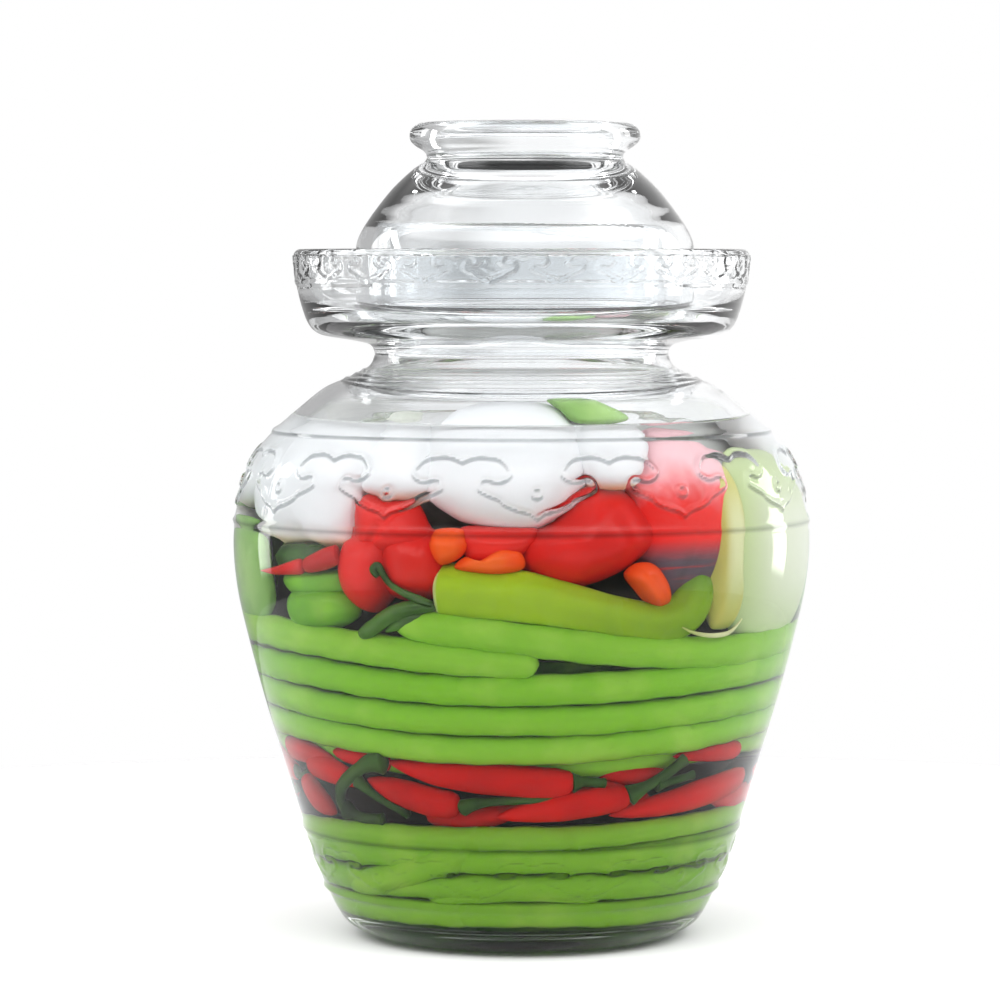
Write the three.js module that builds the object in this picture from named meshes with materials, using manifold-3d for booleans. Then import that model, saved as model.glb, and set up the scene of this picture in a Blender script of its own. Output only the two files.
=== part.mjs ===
// Water seal fermentation jar: a round-bellied clear glass jar with a water
// trough round its mouth, its loose glass lid and the vegetables it holds.
// Millimetres, +Z up. The origin is the middle of the foot, on the table.
// The front faces -Y. Bearings are in degrees round the jar from the front,
// growing towards +X.

import * as THREE from 'three';
import { mergeVertices } from 'three/addons/utils/BufferGeometryUtils.js';
import Module from 'manifold-3d';

const wasm = await Module();
wasm.setup();

// Driving dimensions of the glass
const BELLY_RADIUS = 82.5;
const BELLY_HEIGHT = 113;
const NECK_RADIUS = 42;
const NECK_HEIGHT = 166.5;
const HEEL_RADIUS = 53.2;
const HEEL_HEIGHT = 8;
const FOOT_RADIUS = 41;
const FOOT_WIDTH = 5;
const FOOT_RECESS = 2.5;
const WALL = 3.8;
const BASE_THICKNESS = 6.5;
const JAR_SIDES = 32;
const LID_SIDES = 26;
const CORE_SIDES = 12;
const INNER_SIDES = 14;

// Raised rings on the jar: height and how far each stands proud
const RING_WIDTH = 2.4;
const RINGS = [
  [14.3, 0.8],
  [32, 0.8],
  [119.8, 0.8],
  [145.3, 0.9],
];

// Water trough and mouth
const TROUGH_RADIUS = 65.2;
const TROUGH_FLOOR_RADIUS = 57.3;
const TROUGH_UNDERSIDE = 172.2;
const TROUGH_FLOOR = 176.2;
const TROUGH_RIM = 196.5;
const TROUGH_WALL = 4;
const MOUTH_RADIUS = 41.3;
const MOUTH_TOP = 202.8;
const MOUTH_WALL = 4.1;

// Lid
const LID_GAP = 0.3;
const LID_OFFSET = 1;
const LID_RADIUS = 48.4;
const LID_WALL = 3.9;
const LID_SHOULDER = 199;
const LID_NECK_RADIUS = 28;
const LID_NECK_HEIGHT = 222.6;
const LID_GRIP_RADIUS = 33;
const LID_GRIP_HEIGHT = 229;
const LID_TOP = 232.4;
const LID_RECESS_FLOOR = 221.2;

// Contents
const GLASS_CLEARANCE = 0.75;
const HEEL_ROUND = 7;
const HEEL_DRAW = 0.14;
const PIECE_GAP = 0.35;
const CORE_INSET = 5;
const CHILLI_CORE_INSET = 7.8;
const BEAN_STATION_ARC = 24;
const BEAN_STEP_ARC = 18;
const LOWER_BEAN_TOP = 35;
const CHILLI_TOP = 55;
const UPPER_BEAN_TOP = 90;
const SEED = 20719;

const rad = THREE.MathUtils.degToRad;

// Small repeatable random source for the pieces that the front doesn't show
function randomSource(seed) {
  let state = seed;
  return () => {
    state = (state * 16807) % 2147483647;
    return state / 2147483647;
  };
}
const random = randomSource(SEED);
const between = (low, high) => low + (high - low) * random();

// Look up y at x in a list of points that grows in x
function interpolate(points, x) {
  const last = points.length - 1;
  if (x <= points[0][0]) return points[0][1];
  if (x >= points[last][0]) return points[last][1];
  const next = points.findIndex((p) => p[0] >= x);
  const [x0, y0] = points[next - 1];
  const [x1, y1] = points[next];
  return y0 + ((y1 - y0) * (x - x0)) / (x1 - x0);
}

// Outer wall of the jar from heel to neck: radius and height of each station
const bodyCurve = new THREE.SplineCurve([
  [HEEL_RADIUS, HEEL_HEIGHT],
  [58.4, 19.2],
  [63.2, 34],
  [68.0, 50.1],
  [73.3, 67.3],
  [77.9, 84.5],
  [81.3, 99.5],
  [BELLY_RADIUS, BELLY_HEIGHT],
  [81.4, 123.5],
  [78.9, 133],
  [75.2, 139.9],
  [69.2, 146.4],
  [62.6, 152.1],
  [56.2, 157.1],
  [48.6, 160.4],
  [43.6, 163.2],
  [NECK_RADIUS, NECK_HEIGHT],
].map(([radius, height]) => new THREE.Vector2(radius, height)));

const CURVE_STEPS = 240;
const outerPoints = bodyCurve.getPoints(CURVE_STEPS);
const outerByHeight = outerPoints.map((p) => [p.y, p.x]);
const innerByHeight = outerPoints.map((p, i) => {
  const tangent = bodyCurve.getTangent(i / CURVE_STEPS);
  return [p.y + tangent.x * WALL, p.x - tangent.y * WALL];
});

const outerRadius = (z) => interpolate(outerByHeight, z);
const innerRadius = (z) => interpolate(innerByHeight, z);
// Largest radius that a piece inside may reach at a height
const roomRadius = (z) => {
  const lowest = BASE_THICKNESS + HEEL_ROUND;
  const heel = z < lowest ? (lowest - z) ** 2 * HEEL_DRAW : 0;
  return innerRadius(Math.max(z, HEEL_HEIGHT)) - GLASS_CLEARANCE - heel;
};

// Evenly spread heights
function spread(low, high, count) {
  return Array.from({ length: count }, (_, i) => low + ((high - low) * i) / (count - 1));
}

// Rounded end between two wall faces: an arc of a few points
function roundedRim(centreRadius, height, halfWidth, steps) {
  return Array.from({ length: steps + 1 }, (_, i) => {
    const angle = (Math.PI * i) / steps;
    return [centreRadius + halfWidth * Math.cos(angle), height + halfWidth * Math.sin(angle)];
  });
}

function lathe(points, sides) {
  const outline = points.map(([radius, height]) => new THREE.Vector2(Math.max(radius, 0), height));
  const geometry = new THREE.LatheGeometry(outline, sides);
  geometry.rotateX(Math.PI / 2);
  return geometry;
}

function toSolid(geometry) {
  const plain = geometry.index ? geometry.clone() : geometry;
  plain.deleteAttribute('normal');
  plain.deleteAttribute('uv');
  const merged = mergeVertices(plain, 1e-4);
  const index = Array.from(merged.index.array);
  const kept = [];
  for (let i = 0; i < index.length; i += 3) {
    const [a, b, c] = index.slice(i, i + 3);
    if (a !== b && b !== c && c !== a) kept.push(a, b, c);
  }
  const mesh = new wasm.Mesh({
    numProp: 3,
    vertProperties: new Float32Array(merged.attributes.position.array),
    triVerts: new Uint32Array(kept),
  });
  const solid = new wasm.Manifold(mesh);
  return solid.volume() < 0 ? flipped(mesh) : solid;
}

function flipped(mesh) {
  const triangles = Array.from(mesh.triVerts);
  for (let i = 0; i < triangles.length; i += 3) {
    [triangles[i], triangles[i + 1]] = [triangles[i + 1], triangles[i]];
  }
  return new wasm.Manifold(new wasm.Mesh({
    numProp: 3,
    vertProperties: mesh.vertProperties,
    triVerts: new Uint32Array(triangles),
  }));
}

function toGeometry(solid) {
  const mesh = solid.getMesh();
  const geometry = new THREE.BufferGeometry();
  geometry.setAttribute('position', new THREE.BufferAttribute(new Float32Array(mesh.vertProperties), 3));
  geometry.setIndex(new THREE.BufferAttribute(new Uint32Array(mesh.triVerts), 1));
  geometry.computeVertexNormals();
  return geometry;
}

// The largest single body of a solid that a cut may have parted
function largestBody(solid) {
  const bodies = solid.decompose();
  return bodies.sort((a, b) => b.volume() - a.volume())[0];
}

// Inside of the jar from the neck down to the middle of the floor, drawn
// inwards by a clearance
function insideOutline(clearance) {
  const wall = [
    NECK_HEIGHT, 161.5, 156.5, 150, 142, 133, BELLY_HEIGHT, 88, 58, 22,
  ].map((z) => [innerRadius(z) - clearance, z - clearance / 3]);
  const heel = [
    [51.6 - clearance, 12 + clearance / 2],
    [48.6 - clearance, 8.4 + clearance],
    [44, BASE_THICKNESS + clearance],
    [0, BASE_THICKNESS + clearance],
  ];
  return [...wall, ...heel];
}

// Jar: one turned outline, up the outside and down the inside
function jarOutline() {
  const bodyHeights = [
    ...spread(HEEL_HEIGHT, BELLY_HEIGHT, 7),
    129, 137, 151, 156, 160, 163, NECK_HEIGHT,
  ];
  const ringHeights = RINGS.flatMap(([z]) => [z - RING_WIDTH / 2, z, z + RING_WIDTH / 2]);
  const nearRing = (z) => RINGS.some(([ring]) => Math.abs(z - ring) < RING_WIDTH * 1.2);
  const heights = [...bodyHeights.filter((z) => !nearRing(z)), ...ringHeights].sort((a, b) => a - b);
  const proud = (z) => RINGS.reduce((sum, [ring, height]) => sum + (z === ring ? height : 0), 0);
  const body = heights.map((z) => [outerRadius(z) + proud(z), z]);
  const footInside = FOOT_RADIUS - FOOT_WIDTH;
  const foot = [
    [0, FOOT_RECESS],
    [footInside - 3, FOOT_RECESS],
    [footInside, 0],
    [FOOT_RADIUS, 0],
    [46.8, 1.9],
    [50.9, 4.7],
  ];
  const trough = [
    [NECK_RADIUS + 1.6, 169.3],
    [TROUGH_FLOOR_RADIUS - 2, TROUGH_UNDERSIDE - 0.5],
    [TROUGH_FLOOR_RADIUS + 2, TROUGH_UNDERSIDE + 0.8],
    [61.2, 175.2],
    [63.1, 180],
    [64.6, 187.5],
    ...roundedRim(TROUGH_RADIUS - TROUGH_WALL / 2, TROUGH_RIM - TROUGH_WALL / 2, TROUGH_WALL / 2, 3),
    [60.6, 187.5],
    [58.6, 180.4],
    [55.4, 177],
    [51.5, TROUGH_FLOOR],
    [MOUTH_RADIUS, TROUGH_FLOOR],
  ];
  const mouth = [
    ...roundedRim(MOUTH_RADIUS - MOUTH_WALL / 2, MOUTH_TOP - MOUTH_WALL / 2, MOUTH_WALL / 2, 3),
    [MOUTH_RADIUS - MOUTH_WALL, 176],
  ];
  return [...foot, ...body, ...trough, ...mouth, ...insideOutline(0)];
}

// Lid: a dome with a straight skirt that stands in the trough and a grip ring
// like a bowl's foot on top, open inside
function lidOutline() {
  const bottom = TROUGH_FLOOR + LID_GAP;
  const inside = LID_RADIUS - LID_WALL;
  const outer = [
    [LID_RADIUS - 0.6, bottom],
    [LID_RADIUS, bottom + 1.2],
    [LID_RADIUS, LID_SHOULDER],
    [46.1, 202.6],
    [42.4, 208],
    [37.5, 214],
    [31.6, 219.8],
    [LID_NECK_RADIUS, LID_NECK_HEIGHT - 1.2],
    [LID_NECK_RADIUS + 0.2, LID_NECK_HEIGHT + 0.6],
    [31.6, 226],
    [LID_GRIP_RADIUS, LID_GRIP_HEIGHT],
    [31.8, LID_TOP - 0.8],
    [30, LID_TOP],
    [27.8, LID_TOP - 0.7],
    [26.4, LID_GRIP_HEIGHT - 1],
    [24, LID_RECESS_FLOOR + 1],
    [20, LID_RECESS_FLOOR],
    [0, LID_RECESS_FLOOR],
  ];
  const hollow = [
    [0, LID_RECESS_FLOOR - 4.4],
    [19, LID_RECESS_FLOOR - 4.6],
    [28, 215.4],
    [34.4, 210.4],
    [39.6, 204.6],
    [inside - 1, 200.6],
    [inside, 196.5],
    [inside, bottom + 1],
    [inside + 0.6, bottom],
  ];
  return [...hollow, ...outer];
}

const group = new THREE.Group();

function addMesh(name, geometry, colour, roughness, extra = {}) {
  const material = new THREE.MeshStandardMaterial({ color: colour, roughness, metalness: 0, ...extra });
  const mesh = new THREE.Mesh(geometry, material);
  mesh.name = name;
  group.add(mesh);
  return mesh;
}

// A point inside the glass: bearing, height and depth in from the wall
function inJar(bearing, z, depth) {
  const reach = roomRadius(z) - depth;
  return new THREE.Vector3(reach * Math.sin(rad(bearing)), -reach * Math.cos(rad(bearing)), z);
}

// A long piece: a turned outline bent along a curve through the stations.
// Each station is bearing, height and depth of the middle line.
function limb({ stations, thickness, taper = 3, blunt = 0, steps = 10, sides = 6, flat = 1 }, grow = 0) {
  const curve = new THREE.CatmullRomCurve3(stations.map((s) => inJar(...s)));
  const half = thickness / 2 + grow;
  const outline = spread(0, 1, steps + 1).map((t) => {
    const along = Math.abs(2 * t - 1) ** taper;
    const end = t < 0.5 ? blunt : 0;
    const radius = half * Math.sqrt(Math.max(1 - along * (1 - end), 0));
    return new THREE.Vector2(radius, t);
  });
  if (blunt > 0) outline.unshift(new THREE.Vector2(0, 0));
  outline[0].x = 0;
  outline[outline.length - 1].x = 0;
  const geometry = new THREE.LatheGeometry(outline, sides);
  const position = geometry.attributes.position;
  for (let i = 0; i < position.count; i += 1) {
    const along = THREE.MathUtils.clamp(position.getY(i), 0, 1);
    const centre = curve.getPointAt(along);
    const tangent = curve.getTangentAt(along);
    const outward = new THREE.Vector3(centre.x, centre.y, 0).normalize();
    outward.addScaledVector(tangent, -outward.dot(tangent)).normalize();
    const side = new THREE.Vector3().crossVectors(tangent, outward);
    centre.addScaledVector(outward, position.getX(i) * flat);
    centre.addScaledVector(side, position.getZ(i));
    position.setXYZ(i, centre.x, centre.y, centre.z);
  }
  return toSolid(geometry);
}

// A rounded chunk that lies against the glass: width along the wall, height,
// and depth in from it. Power below 1 makes it boxier, lumps make it uneven.
function chunk(spec, grow = 0) {
  const { bearing, z, width, height, depth } = spec;
  const { tilt = 0, inset = 0, power = 0.85, lumps = 0.05, sides = 10, rows = 6 } = spec;
  const geometry = new THREE.SphereGeometry(1, sides, rows);
  const position = geometry.attributes.position;
  const boxy = (v) => Math.sign(v) * Math.abs(v) ** power;
  const turn = rad(tilt);
  for (let i = 0; i < position.count; i += 1) {
    const [x, y, w] = [position.getX(i), position.getY(i), position.getZ(i)];
    const swell = 1 + lumps * Math.sin(5 * x + 3 * y + bearing) * Math.cos(4 * y + 2 * w + z);
    const across = boxy(x) * (width / 2 + grow) * swell;
    const up = boxy(y) * (height / 2 + grow) * swell;
    const inwards = Math.max((1 - boxy(w)) * (depth / 2) - grow * boxy(w), -PIECE_GAP);
    const around = across * Math.cos(turn) - up * Math.sin(turn);
    const rise = across * Math.sin(turn) + up * Math.cos(turn);
    const reach = roomRadius(Math.max(z + rise, BASE_THICKNESS)) - inwards - inset;
    const angle = rad(bearing) + around / roomRadius(z);
    position.setXYZ(i, reach * Math.sin(angle), -reach * Math.cos(angle), z + rise);
  }
  return toSolid(geometry);
}

const join = (solids) => wasm.Manifold.union(solids);

// Rows of beans sag at the front and rise at the sides
const SAG = 4.5;
const sag = (bearing, amount) => {
  const side = Math.cos(rad(bearing)) > 0 ? Math.sin(rad(bearing)) ** 2 : 1;
  return amount * side;
};

// One bean of a wound row, from one bearing to another
function rowBean({ from, to, z, thickness, drift = 0 }, amount) {
  const arc = Math.abs(to - from);
  const count = Math.round(arc / BEAN_STATION_ARC) + 1;
  const stations = spread(0, 1, count).map((t) => {
    const bearing = from + (to - from) * t;
    return [bearing, z + sag(bearing, amount) + drift * (t - 0.5), thickness / 2 + PIECE_GAP];
  });
  return limb({ stations, thickness, taper: 14, steps: Math.round(arc / BEAN_STEP_ARC), sides: 5 });
}

// Middle of a heap: a turned block that the pieces are fused on
function heapCore(low, high, inset) {
  const wall = [low, high].map((z) => [roomRadius(z) - inset, z]);
  return toSolid(lathe([[0, low], ...wall, [0, high]], CORE_SIDES));
}

function lowerBeans() {
  const rows = [
    { z: 12.2, thickness: 7, shift: 140 },
    { z: 19.6, thickness: 7.2, shift: 60 },
    { z: 27, thickness: 7.2, shift: 170 },
  ];
  const beans = rows.flatMap(({ z, thickness, shift }, i) => [
    rowBean({ from: shift, to: shift + 196, z, thickness, drift: i % 2 ? 0.4 : -0.4 }, 0.6),
    rowBean({ from: shift + 199, to: shift + 357, z, thickness: thickness - 0.3 }, 0.6),
  ]);
  const top = [
    rowBean({ from: -112, to: 96, z: 34.4, thickness: 6.6, drift: 4 }, 0.5),
    rowBean({ from: 88, to: 236, z: 35.6, thickness: 6.6, drift: -2 }, 0.5),
  ];
  const crossing = limb({
    stations: [[-60, 20.6, 3], [-42, 22.6, 2.6], [-26, 27, 2.6], [-10, 31, 3.4]],
    thickness: 8,
    taper: 8,
    steps: 6,
  });
  return join([heapCore(BASE_THICKNESS + 1, LOWER_BEAN_TOP, CORE_INSET), ...beans, ...top, crossing]);
}

function upperBeans() {
  const rows = [
    { z: 60.2, thickness: 7.8, shift: 200 },
    { z: 68.4, thickness: 8, shift: 75 },
    { z: 76.8, thickness: 8.2, shift: 150 },
  ];
  const beans = rows.flatMap(({ z, thickness, shift }, i) => [
    rowBean({ from: shift, to: shift + 200, z, thickness, drift: i % 2 ? 0.5 : -0.5 }, SAG),
    rowBean({ from: shift + 203, to: shift + 357, z, thickness: thickness - 0.4 }, SAG),
  ]);
  const top = [
    limb({
      stations: [[-104, 90, 5], [-78, 90.2, 4.6], [-52, 88.6, 4.4], [-26, 86.6, 4.4], [3.5, 84.2, 5.4]],
      thickness: 9,
      taper: 10,
      steps: 8,
    }),
    limb({
      stations: [[-27, 95.4, 5], [-4, 91.6, 4.6], [20, 88, 4.6], [42, 86.2, 4.6], [64, 86.6, 4.6],
        [96, 88.4, 5]],
      thickness: 8.8,
      taper: 7,
      steps: 10,
    }),
    rowBean({ from: 92, to: 190, z: 83.6, thickness: 8.6, drift: 2 }, SAG),
    rowBean({ from: 184, to: 262, z: 84, thickness: 8.4, drift: -2 }, SAG),
  ];
  return join([heapCore(CHILLI_TOP + 2.4, UPPER_BEAN_TOP - 5.4, CORE_INSET), ...beans, ...top]);
}

// Chillies between the bean layers: stations of the red body, then the stalk
const FRONT_CHILLIES = [
  { body: [[13, 50.6, 5], [0, 50.2, 5], [-18, 50.4, 5], [-36, 52.4, 5.6]], thickness: 9.2 },
  { body: [[-17, 43.6, 5], [-26, 44.2, 5], [-44, 48.6, 6]], thickness: 8.8 },
  { body: [[28, 46.4, 5], [14, 44.6, 4.8], [-7, 42.8, 5.4]], thickness: 8 },
  { body: [[72, 50, 5], [48, 47, 4.8], [22, 43.8, 5.6]], thickness: 8.6 },
  { body: [[40, 51.4, 6], [30, 52.4, 6], [21, 52.8, 7]], thickness: 5.6 },
  { body: [[66, 57, 6], [52, 55.4, 5], [41, 54.6, 5.6]], thickness: 5.2 },
  { body: [[-66, 52.4, 5.6], [-56, 50.6, 5], [-46, 48.4, 6]], thickness: 7.4 },
  { body: [[-71, 48.6, 5], [-68, 43, 5], [-62, 41.4, 6]], thickness: 7.4 },
  { body: [[-78, 56.4, 6], [-66, 55.6, 5.4], [-56, 54.6, 6.6]], thickness: 7.2 },
];
const STALKS = [
  { body: [[12, 51.6, 4.6], [17, 51.6, 4.4], [22, 50.4, 6]], thickness: 3.4 },
  { body: [[-18, 43.6, 4.6], [-6, 46.2, 3.4], [9, 46.6, 4.4]], thickness: 3 },
  { body: [[27, 47.2, 4.4], [33, 48.2, 4.2], [38, 48, 6]], thickness: 3.2 },
  { body: [[-48, 47, 4], [-42, 43.6, 3.4], [-33, 41.4, 5]], thickness: 2.8 },
];

function chillies() {
  const backs = spread(96, 254, 7).map((bearing, i) => ({
    body: [
      [bearing - 15, between(45, 51), 5],
      [bearing, i % 2 ? 45 : 51.4, 5],
      [bearing + 15, between(45, 52), 6],
    ],
    thickness: between(7.6, 9.4),
  }));
  const red = [...FRONT_CHILLIES, ...backs].map(({ body, thickness }) => limb({
    stations: body, thickness, taper: 2.2, steps: 6, sides: 5,
  }));
  const green = STALKS.map(({ body, thickness }) => limb({
    stations: body, thickness, taper: 6, steps: 3, sides: 4,
  }));
  return join([heapCore(LOWER_BEAN_TOP + 5, CHILLI_TOP - 1, CHILLI_CORE_INSET), ...red, ...green]);
}

// Larger vegetables above the beans. Each shows at the glass as its own piece.
const WHITE = 0xeef1f0;
const RED = 0xc8241f;
const ORANGE = 0xf0611e;
const LIME = 0x9abf2a;
const GREEN = 0x6cb43c;
const PALE = 0xd5dcc0;
const STALK = 0x5b8a3a;

const LARGE = [
  ['lime_pepper', LIME, () => ({
    stations: [[-17.5, 104.6, 7], [-6, 103, 6.6], [8, 100.6, 6.4], [24, 96.6, 6], [34, 96.4, 6],
      [38.5, 103, 6], [38.5, 111, 7]],
    thickness: 12.4, taper: 5, blunt: 0.7, steps: 9, sides: 7,
  })],
  ['lantern_stalk', STALK, () => ({
    stations: [[-31, 110.4, 1.6], [-27.5, 106.6, 1.6], [-23, 103.6, 2], [-18.4, 101, 3.4]],
    thickness: 2.6, taper: 6, steps: 4, sides: 5,
  })],
  ['lantern_pepper', RED, (grow) => join([
    chunk({ bearing: -33.5, z: 110, width: 23, height: 24, depth: 22, tilt: 6, power: 0.9 }, grow),
    chunk({ bearing: -22, z: 111, width: 15.5, height: 20, depth: 18, inset: 2, sides: 8 }, grow),
    chunk({ bearing: -31, z: 122, width: 21, height: 13, depth: 16, inset: 1, tilt: -14, sides: 8 }, grow),
  ])],
  ['white_radish_big', WHITE, { bearing: -4, z: 136.4, width: 53, height: 36, depth: 40, power: 0.8,
    lumps: 0.03, sides: 12, rows: 7 }],
  ['red_pepper_big', RED, { bearing: 15, z: 118.4, width: 43, height: 24, depth: 24, tilt: 14,
    power: 0.85, sides: 12 }],
  ['white_radish_left', WHITE, { bearing: -60, z: 129.2, width: 49, height: 30, depth: 30, tilt: 4,
    power: 0.8, lumps: 0.06, sides: 12 }],
  ['pale_slice_front', PALE, { bearing: 47.5, z: 111.4, width: 12, height: 39, depth: 12, tilt: 3,
    power: 0.75 }],
  ['pale_slice_side', PALE, { bearing: 70.5, z: 111.6, width: 47, height: 48, depth: 16, tilt: -2,
    power: 0.75, sides: 12 }],
  ['red_pepper_side', RED, { bearing: 40, z: 129.4, width: 32, height: 31, depth: 22, inset: 2,
    power: 0.85 }],
  ['white_radish_right', WHITE, { bearing: 24, z: 138.8, width: 17, height: 17, depth: 24, inset: 1 }],
  ['white_radish_small', WHITE, { bearing: -30, z: 134.4, width: 17, height: 14, depth: 24, inset: 3 }],
  ['green_slice_top', LIME, { bearing: 20, z: 151.4, width: 25, height: 5, depth: 20, inset: 2, sides: 8,
    rows: 5 }],
  ['orange_pepper_left', ORANGE, { bearing: -14.6, z: 115, width: 11.5, height: 7.6, depth: 9,
    inset: 1.5, sides: 8, rows: 5 }],
  ['orange_pepper_middle', ORANGE, { bearing: -5, z: 112.6, width: 13, height: 4.6, depth: 9,
    inset: 1.5, sides: 8, rows: 5 }],
  ['orange_pepper_right', ORANGE, { bearing: 27, z: 106.4, width: 14.5, height: 7, depth: 9, tilt: -38,
    inset: 0.8, sides: 8, rows: 5 }],
  ['red_slice_middle', RED, { bearing: -6.5, z: 116.4, width: 15, height: 4, depth: 16, inset: 4,
    sides: 8, rows: 5 }],
  ['thin_chilli', RED, () => ({
    stations: [[-66, 107.2, 4], [-57, 108.6, 3], [-46.5, 110.6, 3.6]],
    thickness: 4.4, taper: 2.4, steps: 6, sides: 5,
  })],
  ['green_piece_left', GREEN, { bearing: -52, z: 99.8, width: 23, height: 15, depth: 18, tilt: 3 }],
  ['green_leaf_left', GREEN, { bearing: -55, z: 113.2, width: 12, height: 3.6, depth: 10, inset: 2,
    sides: 8, rows: 5 }],
  ['green_leaf_side', GREEN, { bearing: -77, z: 105, width: 33, height: 26, depth: 9, inset: 1,
    sides: 8, rows: 5 }],
  ['green_sprig', GREEN, () => ({
    stations: [[-20, 100.4, 9], [-28, 97, 9], [-35, 94.6, 9.4]],
    thickness: 4, taper: 5, steps: 5, sides: 6,
  })],
];

// Round the back, which the photograph leaves open, the same kinds go on
const BACK_LOWER_KINDS = [['green', GREEN], ['radish', WHITE], ['pepper', RED]];
const BACK_UPPER_KINDS = [['radish', WHITE], ['pale', PALE]];
const BACK_LOWER = spread(104, 258, 5);
const BACK_UPPER = spread(92, 270, 5);
BACK_LOWER.forEach((bearing, i) => {
  const [kind, colour] = BACK_LOWER_KINDS[i % BACK_LOWER_KINDS.length];
  LARGE.push([`back_${kind}_low_${i + 1}`, colour, {
    bearing, z: between(104, 108), width: between(38, 44), height: between(23, 26), depth: 24,
    tilt: between(-8, 8), power: 0.85, lumps: 0.08, sides: 8,
  }]);
});
BACK_UPPER.forEach((bearing, i) => {
  const [kind, colour] = BACK_UPPER_KINDS[i % BACK_UPPER_KINDS.length];
  LARGE.push([`back_${kind}_high_${i + 1}`, colour, {
    bearing, z: between(130, 134), width: between(38, 44), height: between(25, 28), depth: 24,
    tilt: between(-8, 8), power: 0.85, lumps: 0.08, sides: 8,
  }]);
});

// Middle of the upper vegetables, behind the pieces that show
function innerVegetables() {
  const outline = [[0, 88], [36, 88], [43, 100], [45, 118], [41, 134], [24, 141], [0, 142]];
  return toSolid(lathe(outline, INNER_SIDES));
}

function buildLarge(spec, grow) {
  if (typeof spec !== 'function') return chunk(spec, grow);
  const made = spec(grow);
  return made.stations ? limb(made, grow) : made;
}

const lower = lowerBeans();
const upper = upperBeans();
const hotLayer = chillies();

// Room for the contents, a small clearance inside the glass
const room = toSolid(lathe([[0, NECK_HEIGHT], ...insideOutline(PIECE_GAP)], JAR_SIDES));

// Cut a piece back from the glass and from what already lies there
function fitted(solid, taken) {
  const cut = taken.reduce((left, other) => left.subtract(other), solid.intersect(room));
  return largestBody(cut);
}

const CLEAR = 0xe8eff0;
const GLASS = { transparent: true, opacity: 0.35 };
addMesh('jar', lathe(jarOutline(), JAR_SIDES), CLEAR, 0.04, GLASS);
const lid = addMesh('lid', lathe(lidOutline(), LID_SIDES), CLEAR, 0.04, GLASS);
lid.position.x = LID_OFFSET;

addMesh('beans_lower', toGeometry(fitted(lower, [])), GREEN, 0.4);
addMesh('beans_upper', toGeometry(fitted(upper, [])), GREEN, 0.4);
const bedding = [lower.translate([0, 0, PIECE_GAP]), upper.translate([0, 0, -PIECE_GAP])];
addMesh('chillies', toGeometry(fitted(hotLayer, bedding)), RED, 0.3);

const taken = [upper.translate([0, 0, PIECE_GAP])];
LARGE.forEach(([name, colour, spec]) => {
  const solid = fitted(buildLarge(spec, 0), taken);
  taken.push(buildLarge(spec, PIECE_GAP));
  addMesh(name, toGeometry(solid), colour, 0.3);
});
addMesh('inner_vegetables', toGeometry(fitted(innerVegetables(), taken)), WHITE, 0.5);

export default group;
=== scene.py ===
"""Water seal fermentation jar: clear glass with a cloud scroll, and brine and vegetables inside, fitted to
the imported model."""

import math

import bpy
import numpy as np
from bpy.props import FloatProperty, FloatVectorProperty, PointerProperty
from bpy.types import Operator, Panel, PropertyGroup
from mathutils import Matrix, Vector


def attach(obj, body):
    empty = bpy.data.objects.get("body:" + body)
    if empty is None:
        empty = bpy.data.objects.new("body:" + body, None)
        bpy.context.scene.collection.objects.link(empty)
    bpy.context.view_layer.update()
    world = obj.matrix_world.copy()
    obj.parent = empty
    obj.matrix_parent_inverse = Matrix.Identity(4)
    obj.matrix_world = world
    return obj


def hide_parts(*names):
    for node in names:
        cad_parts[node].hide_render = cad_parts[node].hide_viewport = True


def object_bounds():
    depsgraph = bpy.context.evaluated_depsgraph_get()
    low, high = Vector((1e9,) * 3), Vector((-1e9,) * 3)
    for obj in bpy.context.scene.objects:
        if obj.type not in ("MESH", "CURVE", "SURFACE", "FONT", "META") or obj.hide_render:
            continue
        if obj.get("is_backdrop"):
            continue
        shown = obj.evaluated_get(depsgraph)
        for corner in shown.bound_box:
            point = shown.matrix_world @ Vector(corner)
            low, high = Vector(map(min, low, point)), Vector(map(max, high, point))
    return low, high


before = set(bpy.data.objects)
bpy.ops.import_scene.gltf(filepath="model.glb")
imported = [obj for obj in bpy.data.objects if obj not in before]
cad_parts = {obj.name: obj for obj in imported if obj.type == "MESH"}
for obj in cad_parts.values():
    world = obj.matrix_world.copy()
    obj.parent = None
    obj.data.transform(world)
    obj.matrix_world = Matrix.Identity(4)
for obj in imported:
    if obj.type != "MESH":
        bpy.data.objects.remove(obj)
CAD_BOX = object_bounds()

bl_info = {
    "name": "Water Seal Fermentation Jar",
    "version": (1, 0, 0),
    "blender": (4, 5, 0),
    "location": "3D View > Sidebar > Jar",
    "description": "Builds a glass pickle jar with its lid, brine and vegetables",
    "category": "Add Mesh",
}

# Lengths in this file are millimetres and bearings are degrees round the jar,
# counted from the front (-Y) towards +X. Meshes are written in metres.
MM = 0.001
TURN = 2 * math.pi

# Glass
WALL = 3.8
FLOOR = 6.5
BODY = (
    (53.2, 8), (58.4, 19.2), (63.2, 34), (68.0, 50.1), (73.3, 67.3), (77.9, 84.5), (81.3, 99.5),
    (82.5, 113), (81.4, 123.5), (78.9, 133), (75.2, 139.9), (69.2, 146.4), (62.6, 152.1), (56.2, 157.1),
    (48.6, 160.4), (43.6, 163.2), (42, 166.5),
)
RINGS = ((14.3, 0.8), (32, 0.8), (119.8, 0.8), (145.3, 0.9))
RING_HALF_WIDTH = 0.85
# Strength of the painted shade on the undersides of the four rings
RING_SHADE = 2.5
NECK_RIDGES = (45.4, 47.6, 50.2)
SEAM_BEARINGS = (-61, 119)
LID_OFFSET = 1.0
LID_GAP = 0.3
TROUGH_FLOOR = 176.2

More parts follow.
